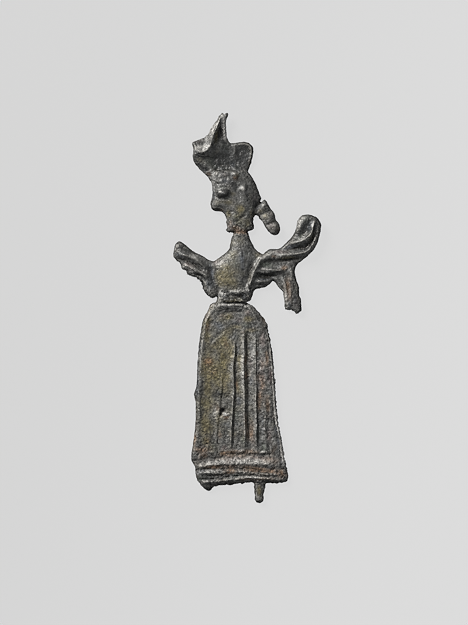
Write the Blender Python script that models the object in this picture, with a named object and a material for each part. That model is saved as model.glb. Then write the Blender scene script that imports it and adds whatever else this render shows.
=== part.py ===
"""A lead votive figurine: a flat casting of a winged figure in a long pleated skirt, lying on its back.

The casting is drawn as a few overlapping forms, such as the skirt, the chest and each wing. Each form has an
outline and a thickness that swells from a thin edge. The forms melt into one another, and ridges and furrows
are then laid over them, as they were cut in the mould. The back is flat, apart from the wing tips, the hair
lock and the headdress, which bend a little towards the front.

Metres, +Z up. The front faces +Z, the head points to +Y, and the origin is the centre of the box underneath.
"""

import bmesh
import bpy
import numpy as np
from mathutils import Vector, geometry

# The overall size. The outlines are drawn in millimetres on a figure of DRAWN_HEIGHT, and follow HEIGHT.
HEIGHT = 0.0975
DRAWN_HEIGHT = 97.5

# How thick the casting is: at its edge, and at the fullest point of each form.
EDGE_THICKNESS = 0.0008
SKIRT_THICKNESS = 0.0014
HEM_THICKNESS = 0.0017
CHEST_THICKNESS = 0.0027
BELT_THICKNESS = 0.0018
NECK_THICKNESS = 0.0019
HEAD_THICKNESS = 0.0025
HEADDRESS_THICKNESS = 0.0012
LOCK_THICKNESS = 0.0020
WING_THICKNESS = 0.0023
FEATHER_THICKNESS = 0.0016
FOOT_THICKNESS = 0.0017

# How far the ridges stand up and the furrows sink.
PLEAT_HEIGHT = 0.00050
FAINT_PLEAT_HEIGHT = 0.00018
RIM_HEIGHT = 0.00034
HEM_BAND_HEIGHT = 0.00050
BELT_BAND_HEIGHT = 0.00040
QUILL_HEIGHT = 0.00058
EYE_HEIGHT = 0.00090
LOCK_BEAD_HEIGHT = 0.00035
FOLD_HEIGHT = 0.00110

# How far the thin ends bend up from the flat.
HEADDRESS_CURL = 0.0009
SPIKE_CURL = 0.0012
LOCK_CURL = 0.0005
LEFT_WING_CURL = 0.0006
RIGHT_WING_CURL = 0.0012
LOOSE_FEATHER_CURL = 0.0005

# The mesh: the space between its points, how far in from the edge it has rows of points, how near two points
# may be as a share of their spacing, how far an edge row may stray as a share of its own place, the softness
# where two forms meet, and the mesh's size in faces.
POINT_SPACING = 0.00055
EDGE_ROWS = (0.00015, 0.00050)
CROWDING = 0.6
ROW_SLACK = 0.2
MELT = 0.00022
FACES = 9600

# Outlines, in millimetres across from the middle of the box and up from the foot.
SKIRT = [
    (-9.7, 3.1), (-10.8, 3.7), (-12.0, 5.2), (-12.8, 6.8), (-13.0, 9.0), (-13.9, 10.7), (-13.9, 12.4),
    (-13.2, 17.0), (-12.9, 21.0), (-12.9, 26.0), (-13.2, 27.3), (-12.6, 30.0), (-12.4, 35.0), (-12.0, 40.0),
    (-11.2, 45.0), (-10.7, 46.6), (-9.7, 48.4), (-9.4, 49.4), (-8.8, 50.0), (-7.0, 50.3), (-3.0, 50.2),
    (0.6, 49.9), (2.1, 48.8), (4.0, 46.6), (5.2, 44.5), (5.1, 43.6), (5.6, 41.8), (6.3, 38.0), (6.8, 32.0),
    (7.3, 26.0), (7.7, 20.6), (8.6, 16.5), (9.2, 12.5), (9.5, 9.9), (10.1, 8.1), (10.2, 6.3), (9.5, 5.2),
    (5.0, 5.0), (0.6, 5.1), (-4.0, 4.6), (-7.6, 4.4), (-8.8, 3.5),
]
HEM = [
    (-12.2, 6.0), (-12.7, 8.6), (-12.9, 11.2), (-8.0, 12.4), (-2.0, 12.9), (4.0, 12.7), (9.0, 11.4),
    (10.0, 8.0), (9.9, 6.0), (8.6, 5.5), (2.0, 5.4), (-6.0, 5.1), (-10.0, 4.2), (-11.4, 5.0),
]
FOOT = [
    (1.3, 6.4), (1.8, 4.4), (2.0, 2.4), (2.0, 0.8), (2.6, 0.0), (3.4, 0.0), (4.1, 0.6), (4.2, 2.4),
    (4.6, 4.4), (5.1, 6.4), (3.2, 7.2),
]
BELT = [
    (-7.4, 49.3), (-7.5, 51.6), (-7.3, 53.0), (-6.4, 54.2), (-3.0, 54.3), (0.6, 54.0), (1.6, 53.0),
    (1.1, 51.6), (0.8, 50.6), (-0.3, 50.4), (-0.9, 49.3), (-4.0, 48.9),
]
CHEST = [
    (-7.0, 52.4), (-8.1, 54.2), (-8.7, 57.0), (-8.7, 59.6), (-8.0, 60.7), (-6.5, 61.8), (-5.0, 63.0),
    (-4.1, 64.3), (-3.9, 66.0), (-1.6, 66.6), (0.7, 66.0), (1.5, 64.4), (2.8, 63.0), (3.9, 62.3),
    (3.3, 60.8), (1.8, 58.2), (0.8, 55.4), (-0.1, 52.8), (-3.5, 51.9),
]
NECK = [
    (-4.1, 63.2), (-4.0, 65.6), (-3.5, 67.2), (-3.3, 68.6), (-3.2, 70.2), (-1.6, 71.0), (-0.2, 70.2),
    (0.0, 68.3), (0.5, 67.2), (0.8, 65.8), (1.7, 63.8), (-1.0, 61.6),
]
HEAD = [
    (-4.4, 67.8), (-5.3, 68.3), (-5.0, 69.2), (-5.1, 71.2), (-5.6, 72.4), (-6.4, 73.0), (-8.0, 73.1),
    (-8.9, 73.8), (-9.1, 75.2), (-8.7, 77.0), (-8.7, 79.4), (-8.9, 80.9), (-8.6, 83.0), (-5.0, 84.6),
    (-1.0, 84.2), (0.2, 83.1), (1.6, 81.1), (2.6, 79.0), (3.3, 77.0), (3.65, 76.4), (3.4, 75.9),
    (3.2, 75.2), (2.8, 73.8), (2.1, 72.4), (1.5, 71.2), (1.7, 69.2), (0.7, 68.1), (-1.4, 67.8), (-3.0, 68.1),
]
HEADDRESS = [
    (-8.7, 80.3), (-9.8, 81.7), (-11.5, 83.3), (-13.1, 85.1), (-13.6, 86.7), (-13.4, 88.6), (-13.8, 90.0),
    (-13.3, 90.5), (-11.9, 91.0), (-10.0, 92.0), (-8.9, 94.0), (-7.4, 96.0), (-6.8, 97.1), (-6.2, 97.5),
    (-5.6, 97.2), (-4.8, 97.5), (-4.8, 97.0), (-5.2, 95.6), (-5.2, 93.4), (-5.0, 91.8), (-4.6, 90.6),
    (-4.0, 90.15), (-2.2, 90.35), (-0.6, 90.5), (0.8, 90.0), (1.6, 88.9), (1.5, 87.2), (1.0, 85.0),
    (0.3, 83.3), (-1.0, 80.6), (-5.0, 79.4),
]
LOCK = [
    (2.0, 74.2), (3.1, 75.0), (3.7, 75.45), (4.1, 75.9), (4.5, 76.1), (5.0, 75.5), (5.9, 73.8), (6.9, 72.6),
    (7.25, 71.0), (8.1, 69.8), (8.3, 68.6), (8.0, 67.5), (7.1, 67.1), (5.8, 67.6), (4.8, 68.8), (4.1, 70.1),
    (3.3, 71.3), (2.9, 72.0), (2.1, 72.2), (1.2, 73.4),
]
LEFT_WING = [
    (-7.4, 60.0), (-8.3, 60.5), (-9.6, 60.9), (-11.0, 61.9), (-13.2, 62.9), (-14.6, 64.0), (-16.2, 65.3),
    (-17.1, 65.5), (-17.9, 64.9), (-18.4, 63.0), (-18.2, 61.5), (-16.8, 60.1), (-16.2, 58.8), (-15.2, 58.3),
    (-14.2, 56.9), (-12.6, 56.4), (-11.3, 55.2), (-10.9, 53.4), (-9.8, 52.0), (-8.6, 51.4), (-7.5, 51.9),
    (-6.9, 54.0), (-7.0, 57.5),
]
RIGHT_WING = [
    (1.4, 60.4), (3.0, 61.8), (4.0, 62.3), (5.6, 63.6), (8.1, 63.8), (10.0, 65.4), (11.4, 66.9),
    (12.3, 69.0), (12.7, 70.8), (13.5, 71.8), (14.4, 72.2), (16.0, 72.1), (17.5, 71.4), (18.5, 69.8),
    (18.2, 67.2), (17.4, 64.6), (16.2, 62.8), (14.2, 61.1), (12.6, 60.0), (9.0, 59.6), (5.0, 59.4),
    (2.2, 57.4), (0.6, 54.0), (-0.6, 53.2), (-1.0, 54.6), (0.0, 57.6),
]
WING_FAN = [
    (0.2, 53.0), (0.6, 56.0), (2.4, 59.4), (6.0, 61.0), (9.4, 60.4), (9.4, 57.6), (7.6, 56.4), (6.5, 56.0),
    (6.0, 55.1), (4.4, 54.1), (2.2, 53.6), (1.5, 53.0),
]
LOOSE_FEATHER = [
    (7.6, 60.4), (12.6, 60.6), (12.1, 58.8), (12.1, 57.0), (13.0, 54.2), (13.1, 51.9), (13.5, 51.4),
    (13.5, 48.6), (13.1, 47.7), (12.2, 47.5), (11.2, 48.6), (9.6, 48.6), (9.3, 50.8), (9.0, 52.9),
    (8.2, 53.7), (7.2, 55.1), (6.4, 56.1), (6.6, 58.6),
]

# Lines of the relief, in the same millimetres.
PLEATS = [
    [(-3.3, 40.8), (-3.6, 34.0), (-3.7, 27.5), (-4.1, 20.0), (-4.4, 13.2)],
    [(-0.9, 43.6), (-1.1, 35.6), (-1.1, 28.6), (-1.0, 20.0), (-1.0, 13.2)],
    [(1.8, 42.8), (1.8, 32.0), (1.9, 22.0), (2.2, 13.2)],
]
PLEAT_FURROWS = [
    [(-2.7, 40.6), (-3.0, 34.0), (-3.1, 27.5), (-3.5, 20.0), (-3.8, 13.4)],
    [(-0.1, 43.6), (-0.2, 35.6), (-0.1, 28.6), (0.0, 20.0), (0.3, 13.4)],
    [(2.5, 42.4), (2.5, 32.0), (2.6, 22.0), (2.9, 13.2)],
]
FAINT_PLEATS = [
    [(-6.3, 34.0), (-6.9, 26.0), (-7.6, 20.0), (-7.8, 13.0)],
    [(4.0, 27.0), (4.2, 20.0), (4.4, 13.4)],
]
FAINT_FURROWS = [
    [(-5.8, 33.4), (-6.4, 26.0), (-7.1, 20.0), (-7.3, 13.0)],
    [(4.9, 24.0), (5.1, 18.0), (5.3, 12.8)],
]
LEFT_RIM = [
    (-7.6, 49.2), (-9.2, 47.6), (-10.3, 45.2), (-11.0, 41.0), (-11.5, 35.0), (-11.9, 28.0), (-12.0, 20.0),
]
RIGHT_RIM = [
    (5.0, 42.8), (5.8, 39.0), (6.2, 33.8), (6.6, 27.0), (7.2, 21.6), (8.1, 16.8), (8.7, 12.6), (9.4, 9.4),
]
RIGHT_RIM_FURROW = [
    (4.4, 42.8), (5.2, 38.6), (5.7, 33.4), (6.1, 26.8), (6.7, 21.2), (7.5, 16.6), (8.1, 12.6), (8.7, 10.0),
]
SHOULDER_RIM = [(0.3, 49.3), (1.4, 47.5), (2.6, 45.6), (3.4, 43.9)]
SKIRT_TOP = [(-8.2, 49.7), (-4.0, 49.7), (0.4, 49.5)]
SKIRT_TOP_FURROW = [(-6.6, 48.6), (-3.4, 48.9), (-0.2, 48.8)]
HEM_BANDS = [
    [(-12.2, 9.5), (-9.2, 10.2), (-6.0, 10.8), (-2.0, 11.0), (2.6, 11.1), (6.6, 10.6)],
    [(-12.6, 7.5), (-9.9, 8.1), (-6.4, 8.4), (-2.4, 8.6), (1.8, 8.3), (6.4, 7.9), (9.3, 7.6)],
    [(-11.6, 5.4), (-8.0, 5.8), (-4.4, 6.2), (-0.9, 6.7), (2.4, 6.9), (5.4, 6.5), (9.2, 6.0)],
]
BELT_BANDS = [
    [(-7.0, 51.8), (-6.6, 52.9), (-5.6, 53.5), (-3.4, 53.1), (-1.2, 53.6), (0.8, 53.1)],
    [(-6.6, 51.3), (-5.2, 50.9), (-3.6, 51.1), (-1.6, 50.8), (0.2, 51.1)],
]
BELT_FURROW = [(-5.6, 51.9), (-4.2, 52.1), (-2.8, 51.8), (-1.4, 52.3), (0.2, 52.1)]
WAIST_CRACK = [(-6.6, 50.5), (-3.2, 50.3), (0.0, 50.3)]
CHEST_BORDER = [(6.6, 62.6), (4.0, 61.6), (2.4, 59.9), (1.5, 57.6), (0.6, 55.4), (-0.3, 53.8)]
CHEST_FURROW = [(2.0, 61.4), (0.9, 59.4), (0.1, 57.0), (-0.8, 54.8)]
QUILLS = [
    [(7.0, 63.0), (9.6, 64.6), (12.4, 65.7), (14.6, 67.0), (16.0, 68.8), (16.4, 71.0)],
    [(11.9, 67.3), (13.0, 69.5), (13.7, 71.2)],
    [(6.8, 62.2), (10.0, 62.1), (13.0, 62.4), (15.6, 63.6), (17.2, 66.2), (17.6, 69.6)],
    [(2.6, 58.6), (5.0, 58.9), (7.8, 58.7), (10.2, 58.6)],
    [(1.5, 55.6), (3.6, 55.6), (6.0, 56.0)],
    [(-17.6, 62.6), (-15.0, 61.8), (-12.4, 60.8), (-10.2, 59.0)],
    [(-16.0, 59.6), (-13.4, 59.1), (-11.0, 57.9), (-9.8, 55.6)],
    [(-12.2, 56.8), (-10.8, 55.0), (-9.6, 52.9)],
    [(-17.2, 64.6), (-15.2, 63.6), (-13.0, 62.3)],
]
QUILL_FURROWS = [
    [(9.4, 63.4), (12.6, 64.3), (15.4, 65.8), (16.8, 68.4), (17.0, 70.4)],
    [(12.4, 66.8), (13.9, 68.4), (14.8, 70.8)],
    [(4.2, 60.2), (6.0, 60.8), (9.0, 60.9), (12.0, 61.3), (14.0, 61.9)],
    [(2.2, 57.0), (5.0, 57.3), (7.6, 57.2)],
    [(-17.9, 61.8), (-15.4, 60.7), (-12.6, 59.8), (-10.6, 58.4)],
    [(-14.0, 57.6), (-12.0, 57.6), (-10.2, 56.2)],
    [(-16.2, 64.2), (-14.2, 62.9), (-12.2, 61.7)],
    [(-9.5, 60.2), (-9.2, 57.4), (-8.7, 53.6)],
]
FEATHER_QUILLS = [
    [(8.9, 57.0), (9.5, 53.0), (9.9, 49.2)],
    [(11.0, 59.2), (11.2, 54.0), (11.2, 49.4)],
    [(12.0, 57.0), (12.7, 53.0), (13.0, 48.6)],
]
FOLD = [(-13.4, 88.6), (-11.0, 89.0), (-9.4, 89.7), (-8.6, 91.4), (-7.3, 94.6), (-6.6, 96.9)]
SPIKE_HOLLOW = [(-7.2, 90.6), (-6.5, 93.0), (-6.2, 96.0)]
SPIKE_RIM = [(-5.2, 91.0), (-5.5, 94.0), (-5.3, 96.8)]
CROWN_HOLLOW = [(-11.4, 86.8), (-7.8, 86.2), (-4.8, 86.4), (-1.4, 87.0)]
LOBE_RIM = [(-2.6, 90.0), (0.2, 89.7), (1.2, 88.2), (0.7, 85.2)]
LOBE_EDGE = [(-3.2, 90.0), (-3.2, 87.4), (-3.6, 85.4)]
BROW = [(-11.8, 85.2), (-10.0, 84.2), (-8.2, 82.7), (-6.4, 82.1), (-4.0, 82.6), (-0.8, 82.4)]
LOCK_NECKS = [
    [(3.3, 72.2), (4.9, 72.9), (6.6, 73.7)],
    [(4.4, 69.4), (6.2, 70.2), (8.0, 71.0)],
]
LOCK_GAP = [(4.0, 76.2), (3.6, 75.3), (2.7, 74.4)]

# The eye, the ear and a pellet under the headdress: middle, half lengths in millimetres, turn in degrees,
# and height as a share of EYE_HEIGHT.
BOSSES = [
    ((-5.9, 77.5), (1.8, 1.0), 12.0, 1.0),
    ((-1.0, 78.6), (0.9, 1.2), -20.0, 0.45),
    ((-2.9, 82.0), (0.75, 0.75), 0.0, 0.5),
]

LEAD_COLOUR = (0.105, 0.103, 0.093, 1.0)
LEAD_ROUGHNESS = 0.55
LEAD_METALLIC = 0.35

# Each form: its outline, its full thickness, and how far in from the edge it swells, in millimetres.
FORMS = {
    "skirt": (SKIRT, SKIRT_THICKNESS, 1.1),
    "hem": (HEM, HEM_THICKNESS, 1.6),
    "foot": (FOOT, FOOT_THICKNESS, 1.1),
    "belt": (BELT, BELT_THICKNESS, 1.2),
    "chest": (CHEST, CHEST_THICKNESS, 4.6),
    "neck": (NECK, NECK_THICKNESS, 2.0),
    "head": (HEAD, HEAD_THICKNESS, 4.2),
    "headdress": (HEADDRESS, HEADDRESS_THICKNESS, 0.9),
    "lock": (LOCK, LOCK_THICKNESS, 1.5),
    "left wing": (LEFT_WING, WING_THICKNESS, 2.3),
    "right wing": (RIGHT_WING, WING_THICKNESS, 2.3),
    "wing fan": (WING_FAN, FEATHER_THICKNESS, 1.5),
    "loose feather": (LOOSE_FEATHER, FEATHER_THICKNESS, 1.2),
}

# Each bent end: the form it belongs to, where the bend starts and ends, and its rise.
CURLS = [
    ("headdress", (-6.4, 84.6), (-13.6, 88.6), HEADDRESS_CURL),
    ("headdress", (-6.4, 88.0), (-6.0, 97.5), SPIKE_CURL),
    ("lock", (4.2, 73.0), (7.8, 67.6), LOCK_CURL),
    ("left wing", (-10.4, 59.2), (-18.0, 64.0), LEFT_WING_CURL),
    ("right wing", (8.0, 62.0), (16.4, 72.0), RIGHT_WING_CURL),
    ("loose feather", (10.4, 57.0), (11.8, 48.0), LOOSE_FEATHER_CURL),
]

# Each kind of line: its lines, its height, its half width, and how long its ends taper, in millimetres.
LINES = [
    (PLEATS, PLEAT_HEIGHT, 0.42, 4.0),
    (PLEAT_FURROWS, -0.7 * PLEAT_HEIGHT, 0.36, 4.0),
    (FAINT_PLEATS, FAINT_PLEAT_HEIGHT, 0.40, 4.0),
    (FAINT_FURROWS, -0.7 * FAINT_PLEAT_HEIGHT, 0.34, 4.0),
    ([LEFT_RIM, RIGHT_RIM, SKIRT_TOP, SHOULDER_RIM], RIM_HEIGHT, 0.40, 1.5),
    ([SKIRT_TOP_FURROW], -RIM_HEIGHT, 0.50, 1.5),
    ([RIGHT_RIM_FURROW], -0.7 * RIM_HEIGHT, 0.36, 2.0),
    (HEM_BANDS, HEM_BAND_HEIGHT, 0.60, 1.5),
    (BELT_BANDS, BELT_BAND_HEIGHT, 0.50, 1.0),
    ([BELT_FURROW, WAIST_CRACK], -BELT_BAND_HEIGHT, 0.35, 1.0),
    (QUILLS, QUILL_HEIGHT, 0.62, 2.0),
    (QUILL_FURROWS, -QUILL_HEIGHT, 0.60, 2.0),
    (FEATHER_QUILLS, 0.8 * QUILL_HEIGHT, 0.50, 1.5),
    ([CHEST_BORDER], 1.3 * QUILL_HEIGHT, 0.75, 1.5),
    ([CHEST_FURROW], -0.7 * QUILL_HEIGHT, 0.60, 2.0),
    ([FOLD], FOLD_HEIGHT, 0.85, 0.6),
    ([SPIKE_HOLLOW], -0.35 * FOLD_HEIGHT, 0.60, 1.5),
    ([SPIKE_RIM, LOBE_RIM], 0.35 * FOLD_HEIGHT, 0.50, 1.0),
    ([LOBE_EDGE, BROW], 0.25 * FOLD_HEIGHT, 0.60, 1.5),
    ([CROWN_HOLLOW], -0.30 * FOLD_HEIGHT, 2.00, 2.0),
    (LOCK_NECKS, -LOCK_BEAD_HEIGHT, 0.45, 0.5),
    ([LOCK_GAP], -2.0 * LOCK_BEAD_HEIGHT, 0.35, 0.5),
]

# The relief fades out over this last part of the edge, in millimetres, and never cuts the casting thinner
# than this share of its edge.
RELIEF_FADE = 0.55
THINNEST_SHARE = 0.6

# A bent end's rise fades over this much outside its own form, in millimetres, and may pass its stated end by
# a fifth.
CURL_BLEND = 0.1
CURL_LIMIT = 1.2

# How blunt the ends of the ridges and the tops of the bumps are: smaller is blunter.
BLUNTNESS = 0.7

DRAWN_MM = HEIGHT / DRAWN_HEIGHT

# Points nearer than this to an outline are on it, and nearer than this to each other are one, in metres.
ON_EDGE = 1e-7
SAME_PLACE = 1e-5


def drawn(points):
    """Points drawn in millimetres as metres at the figure's own size."""
    return np.array(points, float) * DRAWN_MM


def smooth_line(points, closed=False):
    """A smooth curve through the points, sampled about evenly."""
    corners = drawn(points)
    if closed:
        padded = np.vstack([corners[-1:], corners, corners[:2]])
    else:
        padded = np.vstack([2 * corners[0] - corners[1], corners, 2 * corners[-1] - corners[-2]])
    samples = []
    for a, b, c, d in zip(padded, padded[1:], padded[2:], padded[3:]):
        steps = max(1, round(np.linalg.norm(c - b) / POINT_SPACING))
        for t in np.arange(steps) / steps:
            bend = (c - a) * t + (2 * a - 5 * b + 4 * c - d) * t**2 + (3 * b - 3 * c + d - a) * t**3
            samples.append(b + bend / 2)
    if not closed:
        samples.append(corners[-1])
    return np.array(samples)


def smooth_outline(points):
    """A smooth closed curve through the points, running anticlockwise."""
    outline = smooth_line(points, closed=True)
    x, y = outline.T
    area = x @ np.roll(y, -1) - y @ np.roll(x, -1)
    return outline if area > 0 else outline[::-1]


def beside(line, shift):
    """The line moved sideways, to its left."""
    run = np.gradient(line, axis=0)
    run /= np.linalg.norm(run, axis=1)[:, None]
    return line + shift * np.column_stack([-run[:, 1], run[:, 0]])


def distance_to(places, line, closed=False):
    """How far each place is from a line."""
    starts = line
    ends = np.roll(line, -1, axis=0)
    if not closed:
        starts, ends = starts[:-1], ends[:-1]
    nearest = np.full(len(places), np.inf)
    for start, end in zip(starts, ends):
        run = end - start
        along = np.clip((places - start) @ run / (run @ run), 0, 1)
        away = places - start - along[:, None] * run
        nearest = np.minimum(nearest, (away**2).sum(1))
    return np.sqrt(nearest)


def depth_inside(places, outline):
    """How far each place lies inside a closed outline, negative outside it."""
    inside = np.zeros(len(places), bool)
    for (x0, y0), (x1, y1) in zip(outline, np.roll(outline, -1, axis=0)):
        if y0 == y1:
            continue
        crosses = (y0 > places[:, 1]) != (y1 > places[:, 1])
        inside ^= crosses & (places[:, 0] < x0 + (places[:, 1] - y0) * (x1 - x0) / (y1 - y0))
    return np.where(inside, 1, -1) * distance_to(places, outline, closed=True)


def swell(depth, reach, full):
    """Thickness of a form: its edge at depth 0, rising as a quarter of an ellipse to full at reach."""
    share = np.clip(depth / reach, 0, 1)
    return EDGE_THICKNESS + (full - EDGE_THICKNESS) * np.sqrt(1 - (1 - share) ** 2)


def melt_together(heights):
    """The greatest of several heights, with a soft corner where two meet."""
    result = heights[0]
    for height in heights[1:]:
        gap = np.clip(1 - np.abs(result - height) / MELT, 0, 1)
        result = np.maximum(result, height) + gap**2 * MELT / 4
    return result


def ridge(places, points, height, half_width, taper):
    """A rounded ridge along a line, or a furrow if its height is negative, that dies out at both ends."""
    line = smooth_line(points)
    away = distance_to(places, line) / (half_width * DRAWN_MM)
    from_end = np.min([np.hypot(*(places - end).T) for end in (line[0], line[-1])], axis=0)
    strength = np.clip(from_end / (taper * DRAWN_MM), 0, 1) ** BLUNTNESS
    return height * strength * np.exp(-(away**2))


def boss(places, middle, halves, turn, height):
    """A rounded bump on an ellipse."""
    angle = np.radians(turn)
    offset = places - drawn(middle)
    along = offset @ [np.cos(angle), np.sin(angle)]
    across = offset @ [-np.sin(angle), np.cos(angle)]
    spread = np.hypot(along / (halves[0] * DRAWN_MM), across / (halves[1] * DRAWN_MM))
    return height * np.clip(1 - spread**2, 0, 1) ** BLUNTNESS


def curl(places, start, end, rise):
    """How far a thin end is bent up: nothing before start, growing to rise at end."""
    run = drawn(end) - drawn(start)
    share = np.clip((places - drawn(start)) @ run / (run @ run), 0, CURL_LIMIT)
    return rise * share**2


def spread_points(outlines):
    """Points all over the casting: rows just inside its edge and along each ridge, and a field between."""
    low = np.min([outline.min(0) for outline in outlines.values()], axis=0)
    high = np.max([outline.max(0) for outline in outlines.values()], axis=0)
    field = []
    for i, y in enumerate(np.arange(low[1], high[1], POINT_SPACING * np.sqrt(0.75))):
        x = np.arange(low[0] + (i % 2) * POINT_SPACING / 2, high[0], POINT_SPACING)
        field.append(np.column_stack([x, np.full(len(x), y)]))
    edge_rows = [(beside(outline, inset), inset) for outline in outlines.values() for inset in EDGE_ROWS]
    ridge_rows = []
    for lines, _, half_width, _ in LINES:
        for line in map(smooth_line, lines):
            flank = half_width * DRAWN_MM
            ridge_rows.extend([line, beside(line, flank), beside(line, -flank)])
    chosen = np.empty((0, 2))
    rows = edge_rows + [(row, None) for row in ridge_rows + [np.vstack(field)]]
    for row, inset in rows:
        depth = np.max([depth_inside(row, outline) for outline in outlines.values()], axis=0)
        if inset:
            keep = np.abs(depth - inset) < ROW_SLACK * inset
        else:
            keep = depth > EDGE_ROWS[0]
        row = row[keep]
        if len(chosen) and len(row):
            crowd = np.array([np.min(np.hypot(*(chosen - place).T)) for place in row])
            row = row[crowd > CROWDING * POINT_SPACING]
        chosen = np.vstack([chosen, row])
    return chosen


def plate(outlines):
    """A flat triangulated plate that covers the outlines."""
    corners, faces = [], []
    for outline in outlines.values():
        faces.append(list(range(len(corners), len(corners) + len(outline))))
        corners.extend(outline)
    points = [Vector(place) for place in np.vstack([corners, spread_points(outlines)])]
    corners, _, triangles, _, _, owners = geometry.delaunay_2d_cdt(points, [], faces, 0, SAME_PLACE)
    return corners, [triangle for triangle, owner in zip(triangles, owners) if owner]


def casting_heights(places, outlines):
    """Height of the back and of the front at each place."""
    depths = {name: depth_inside(places, outline) for name, outline in outlines.items()}
    back = np.zeros(len(places))
    for name, start, end, rise in CURLS:
        nearby = np.clip(depths[name] / (CURL_BLEND * DRAWN_MM) + 1, 0, 1)
        back += nearby * curl(places, start, end, rise)
    swellings = []
    for name, (_, full, reach) in FORMS.items():
        covered = depths[name] > -ON_EDGE
        swellings.append(np.where(covered, swell(depths[name], reach * DRAWN_MM, full), 0))
    relief = np.zeros(len(places))
    for lines, height, half_width, taper in LINES:
        # Lines of one kind don't add up where they meet.
        steps = [ridge(places, line, height, half_width, taper) for line in lines]
        relief += np.max(steps, axis=0) if height > 0 else np.min(steps, axis=0)
    for middle, halves, turn, share in BOSSES:
        relief += boss(places, middle, halves, turn, share * EYE_HEIGHT)
    overall = np.max(list(depths.values()), axis=0)
    fade = np.clip(overall / (RELIEF_FADE * DRAWN_MM), 0, 1)
    thickness = melt_together(swellings) + relief * fade
    return back, back + np.maximum(thickness, THINNEST_SHARE * EDGE_THICKNESS)


def corner_rank(item, count):
    """A number that no other edge or face has, from its lowest corners in a mesh of count corners."""
    rank = 0
    for index in sorted(corner.index for corner in item.verts)[:3]:
        rank = rank * count + index
    return rank


def build_casting():
    """The whole figurine as one closed mesh: the plate, extruded, with both sides set to their heights."""
    outlines = {name: smooth_outline(outline) for name, (outline, _, _) in FORMS.items()}
    points, triangles = plate(outlines)
    shape = bmesh.new()
    corners = [shape.verts.new((point.x, point.y, 0)) for point in points]
    for triangle in triangles:
        shape.faces.new([corners[i] for i in triangle])
    loose = [corner for corner in shape.verts if not corner.link_faces]
    bmesh.ops.delete(shape, geom=loose, context="VERTS")
    raised = bmesh.ops.extrude_face_region(shape, geom=shape.faces[:])
    front = {item for item in raised["geom"] if isinstance(item, bmesh.types.BMVert)}
    places = np.array([corner.co[:2] for corner in shape.verts])
    back_heights, front_heights = casting_heights(places, outlines)
    for corner, low, high in zip(shape.verts, back_heights, front_heights):
        corner.co.z = high if corner in front else low
    bmesh.ops.recalc_face_normals(shape, faces=shape.faces)
    # The extrusion leaves its walls in any order. A fixed order gives the same thinned mesh each time.
    shape.verts.index_update()
    for items in (shape.edges, shape.faces):
        items.sort(key=lambda item: corner_rank(item, len(shape.verts)))
    centre = (places.min(0) + places.max(0)) / 2
    bmesh.ops.translate(shape, verts=shape.verts, vec=(-centre[0], -centre[1], 0))
    mesh = bpy.data.meshes.new("figurine")
    shape.to_mesh(mesh)
    shape.free()
    mesh.shade_smooth()
    return mesh


def lead():
    """Dull dark lead."""
    material = bpy.data.materials.new("patinated_lead")
    material.use_nodes = True
    shader = material.node_tree.nodes["Principled BSDF"]
    shader.inputs["Base Color"].default_value = LEAD_COLOUR
    shader.inputs["Roughness"].default_value = LEAD_ROUGHNESS
    shader.inputs["Metallic"].default_value = LEAD_METALLIC
    material.diffuse_color = LEAD_COLOUR
    return material


def main():
    for leftover in list(bpy.data.objects):
        bpy.data.objects.remove(leftover, do_unlink=True)
    collection = bpy.data.collections.new("lead_votive_figurine")
    bpy.context.scene.collection.children.link(collection)
    mesh = build_casting()
    mesh.materials.append(lead())
    figurine = bpy.data.objects.new("figurine", mesh)
    collection.objects.link(figurine)
    thinning = figurine.modifiers.new("fewer faces on the flat", "DECIMATE")
    thinning.ratio = min(1, FACES / len(mesh.polygons))


main()
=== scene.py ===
"""The looks of a lead votive figurine: its fine relief, its worn and crusted surface, and its patina.

The casting's own solid is copied, remeshed evenly and smoothed. Fine crests, cuts, dents and pits are then
raised on its front, and its thin edges are roughened. How deep each place lies below what is around it, and
where earth, rust, slate and bare metal show, and where shade and highlights are painted, are kept as
attributes of the mesh, which the lead reads.

Places are in millimetres across from the middle of the figure and up from its foot, as in the casting's own
drawing. Heights, depths and widths of the relief are in millimetres too. Everything else is in metres.
"""

import math

import bmesh
import bpy
import numpy as np
from mathutils import Euler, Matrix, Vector, noise

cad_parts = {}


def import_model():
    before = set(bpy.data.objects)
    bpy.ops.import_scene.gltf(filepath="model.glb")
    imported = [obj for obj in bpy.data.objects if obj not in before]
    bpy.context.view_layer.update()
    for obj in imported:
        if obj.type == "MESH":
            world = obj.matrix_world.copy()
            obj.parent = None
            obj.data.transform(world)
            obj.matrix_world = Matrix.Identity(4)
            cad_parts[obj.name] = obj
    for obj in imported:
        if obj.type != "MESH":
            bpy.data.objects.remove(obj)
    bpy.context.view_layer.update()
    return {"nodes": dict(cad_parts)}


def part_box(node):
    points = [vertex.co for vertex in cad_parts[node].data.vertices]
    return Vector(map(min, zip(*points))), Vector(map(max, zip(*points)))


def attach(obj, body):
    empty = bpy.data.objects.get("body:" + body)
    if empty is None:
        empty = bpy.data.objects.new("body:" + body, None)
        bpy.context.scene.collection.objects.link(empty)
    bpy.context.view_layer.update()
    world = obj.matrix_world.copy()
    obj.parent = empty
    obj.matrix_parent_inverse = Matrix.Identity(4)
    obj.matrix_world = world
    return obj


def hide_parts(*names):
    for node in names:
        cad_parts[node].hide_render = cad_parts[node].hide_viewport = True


def colour(red, green, blue):
    """An opaque colour."""
    return red, green, blue, 1.0


MM = 0.001

# The drawing's zero is this far left of the middle of the figure's box, and its foot is at zero.
DRAWING_ZERO = 0.05 * MM

# The photograph: its size in pixels, the pixel that shows the drawing's zero, and pixels in a millimetre.
PHOTO_SIZE = (468, 625)
PHOTO_ZERO = (247.0, 503.5)
PHOTO_SCALE = 4.0

# The camera, which is set for a height over the floor of about half the thickness of the casting.
LENS = 100.0
SENSOR = 36.0
FOCUS_HEIGHT = 1.5 * MM

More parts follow.
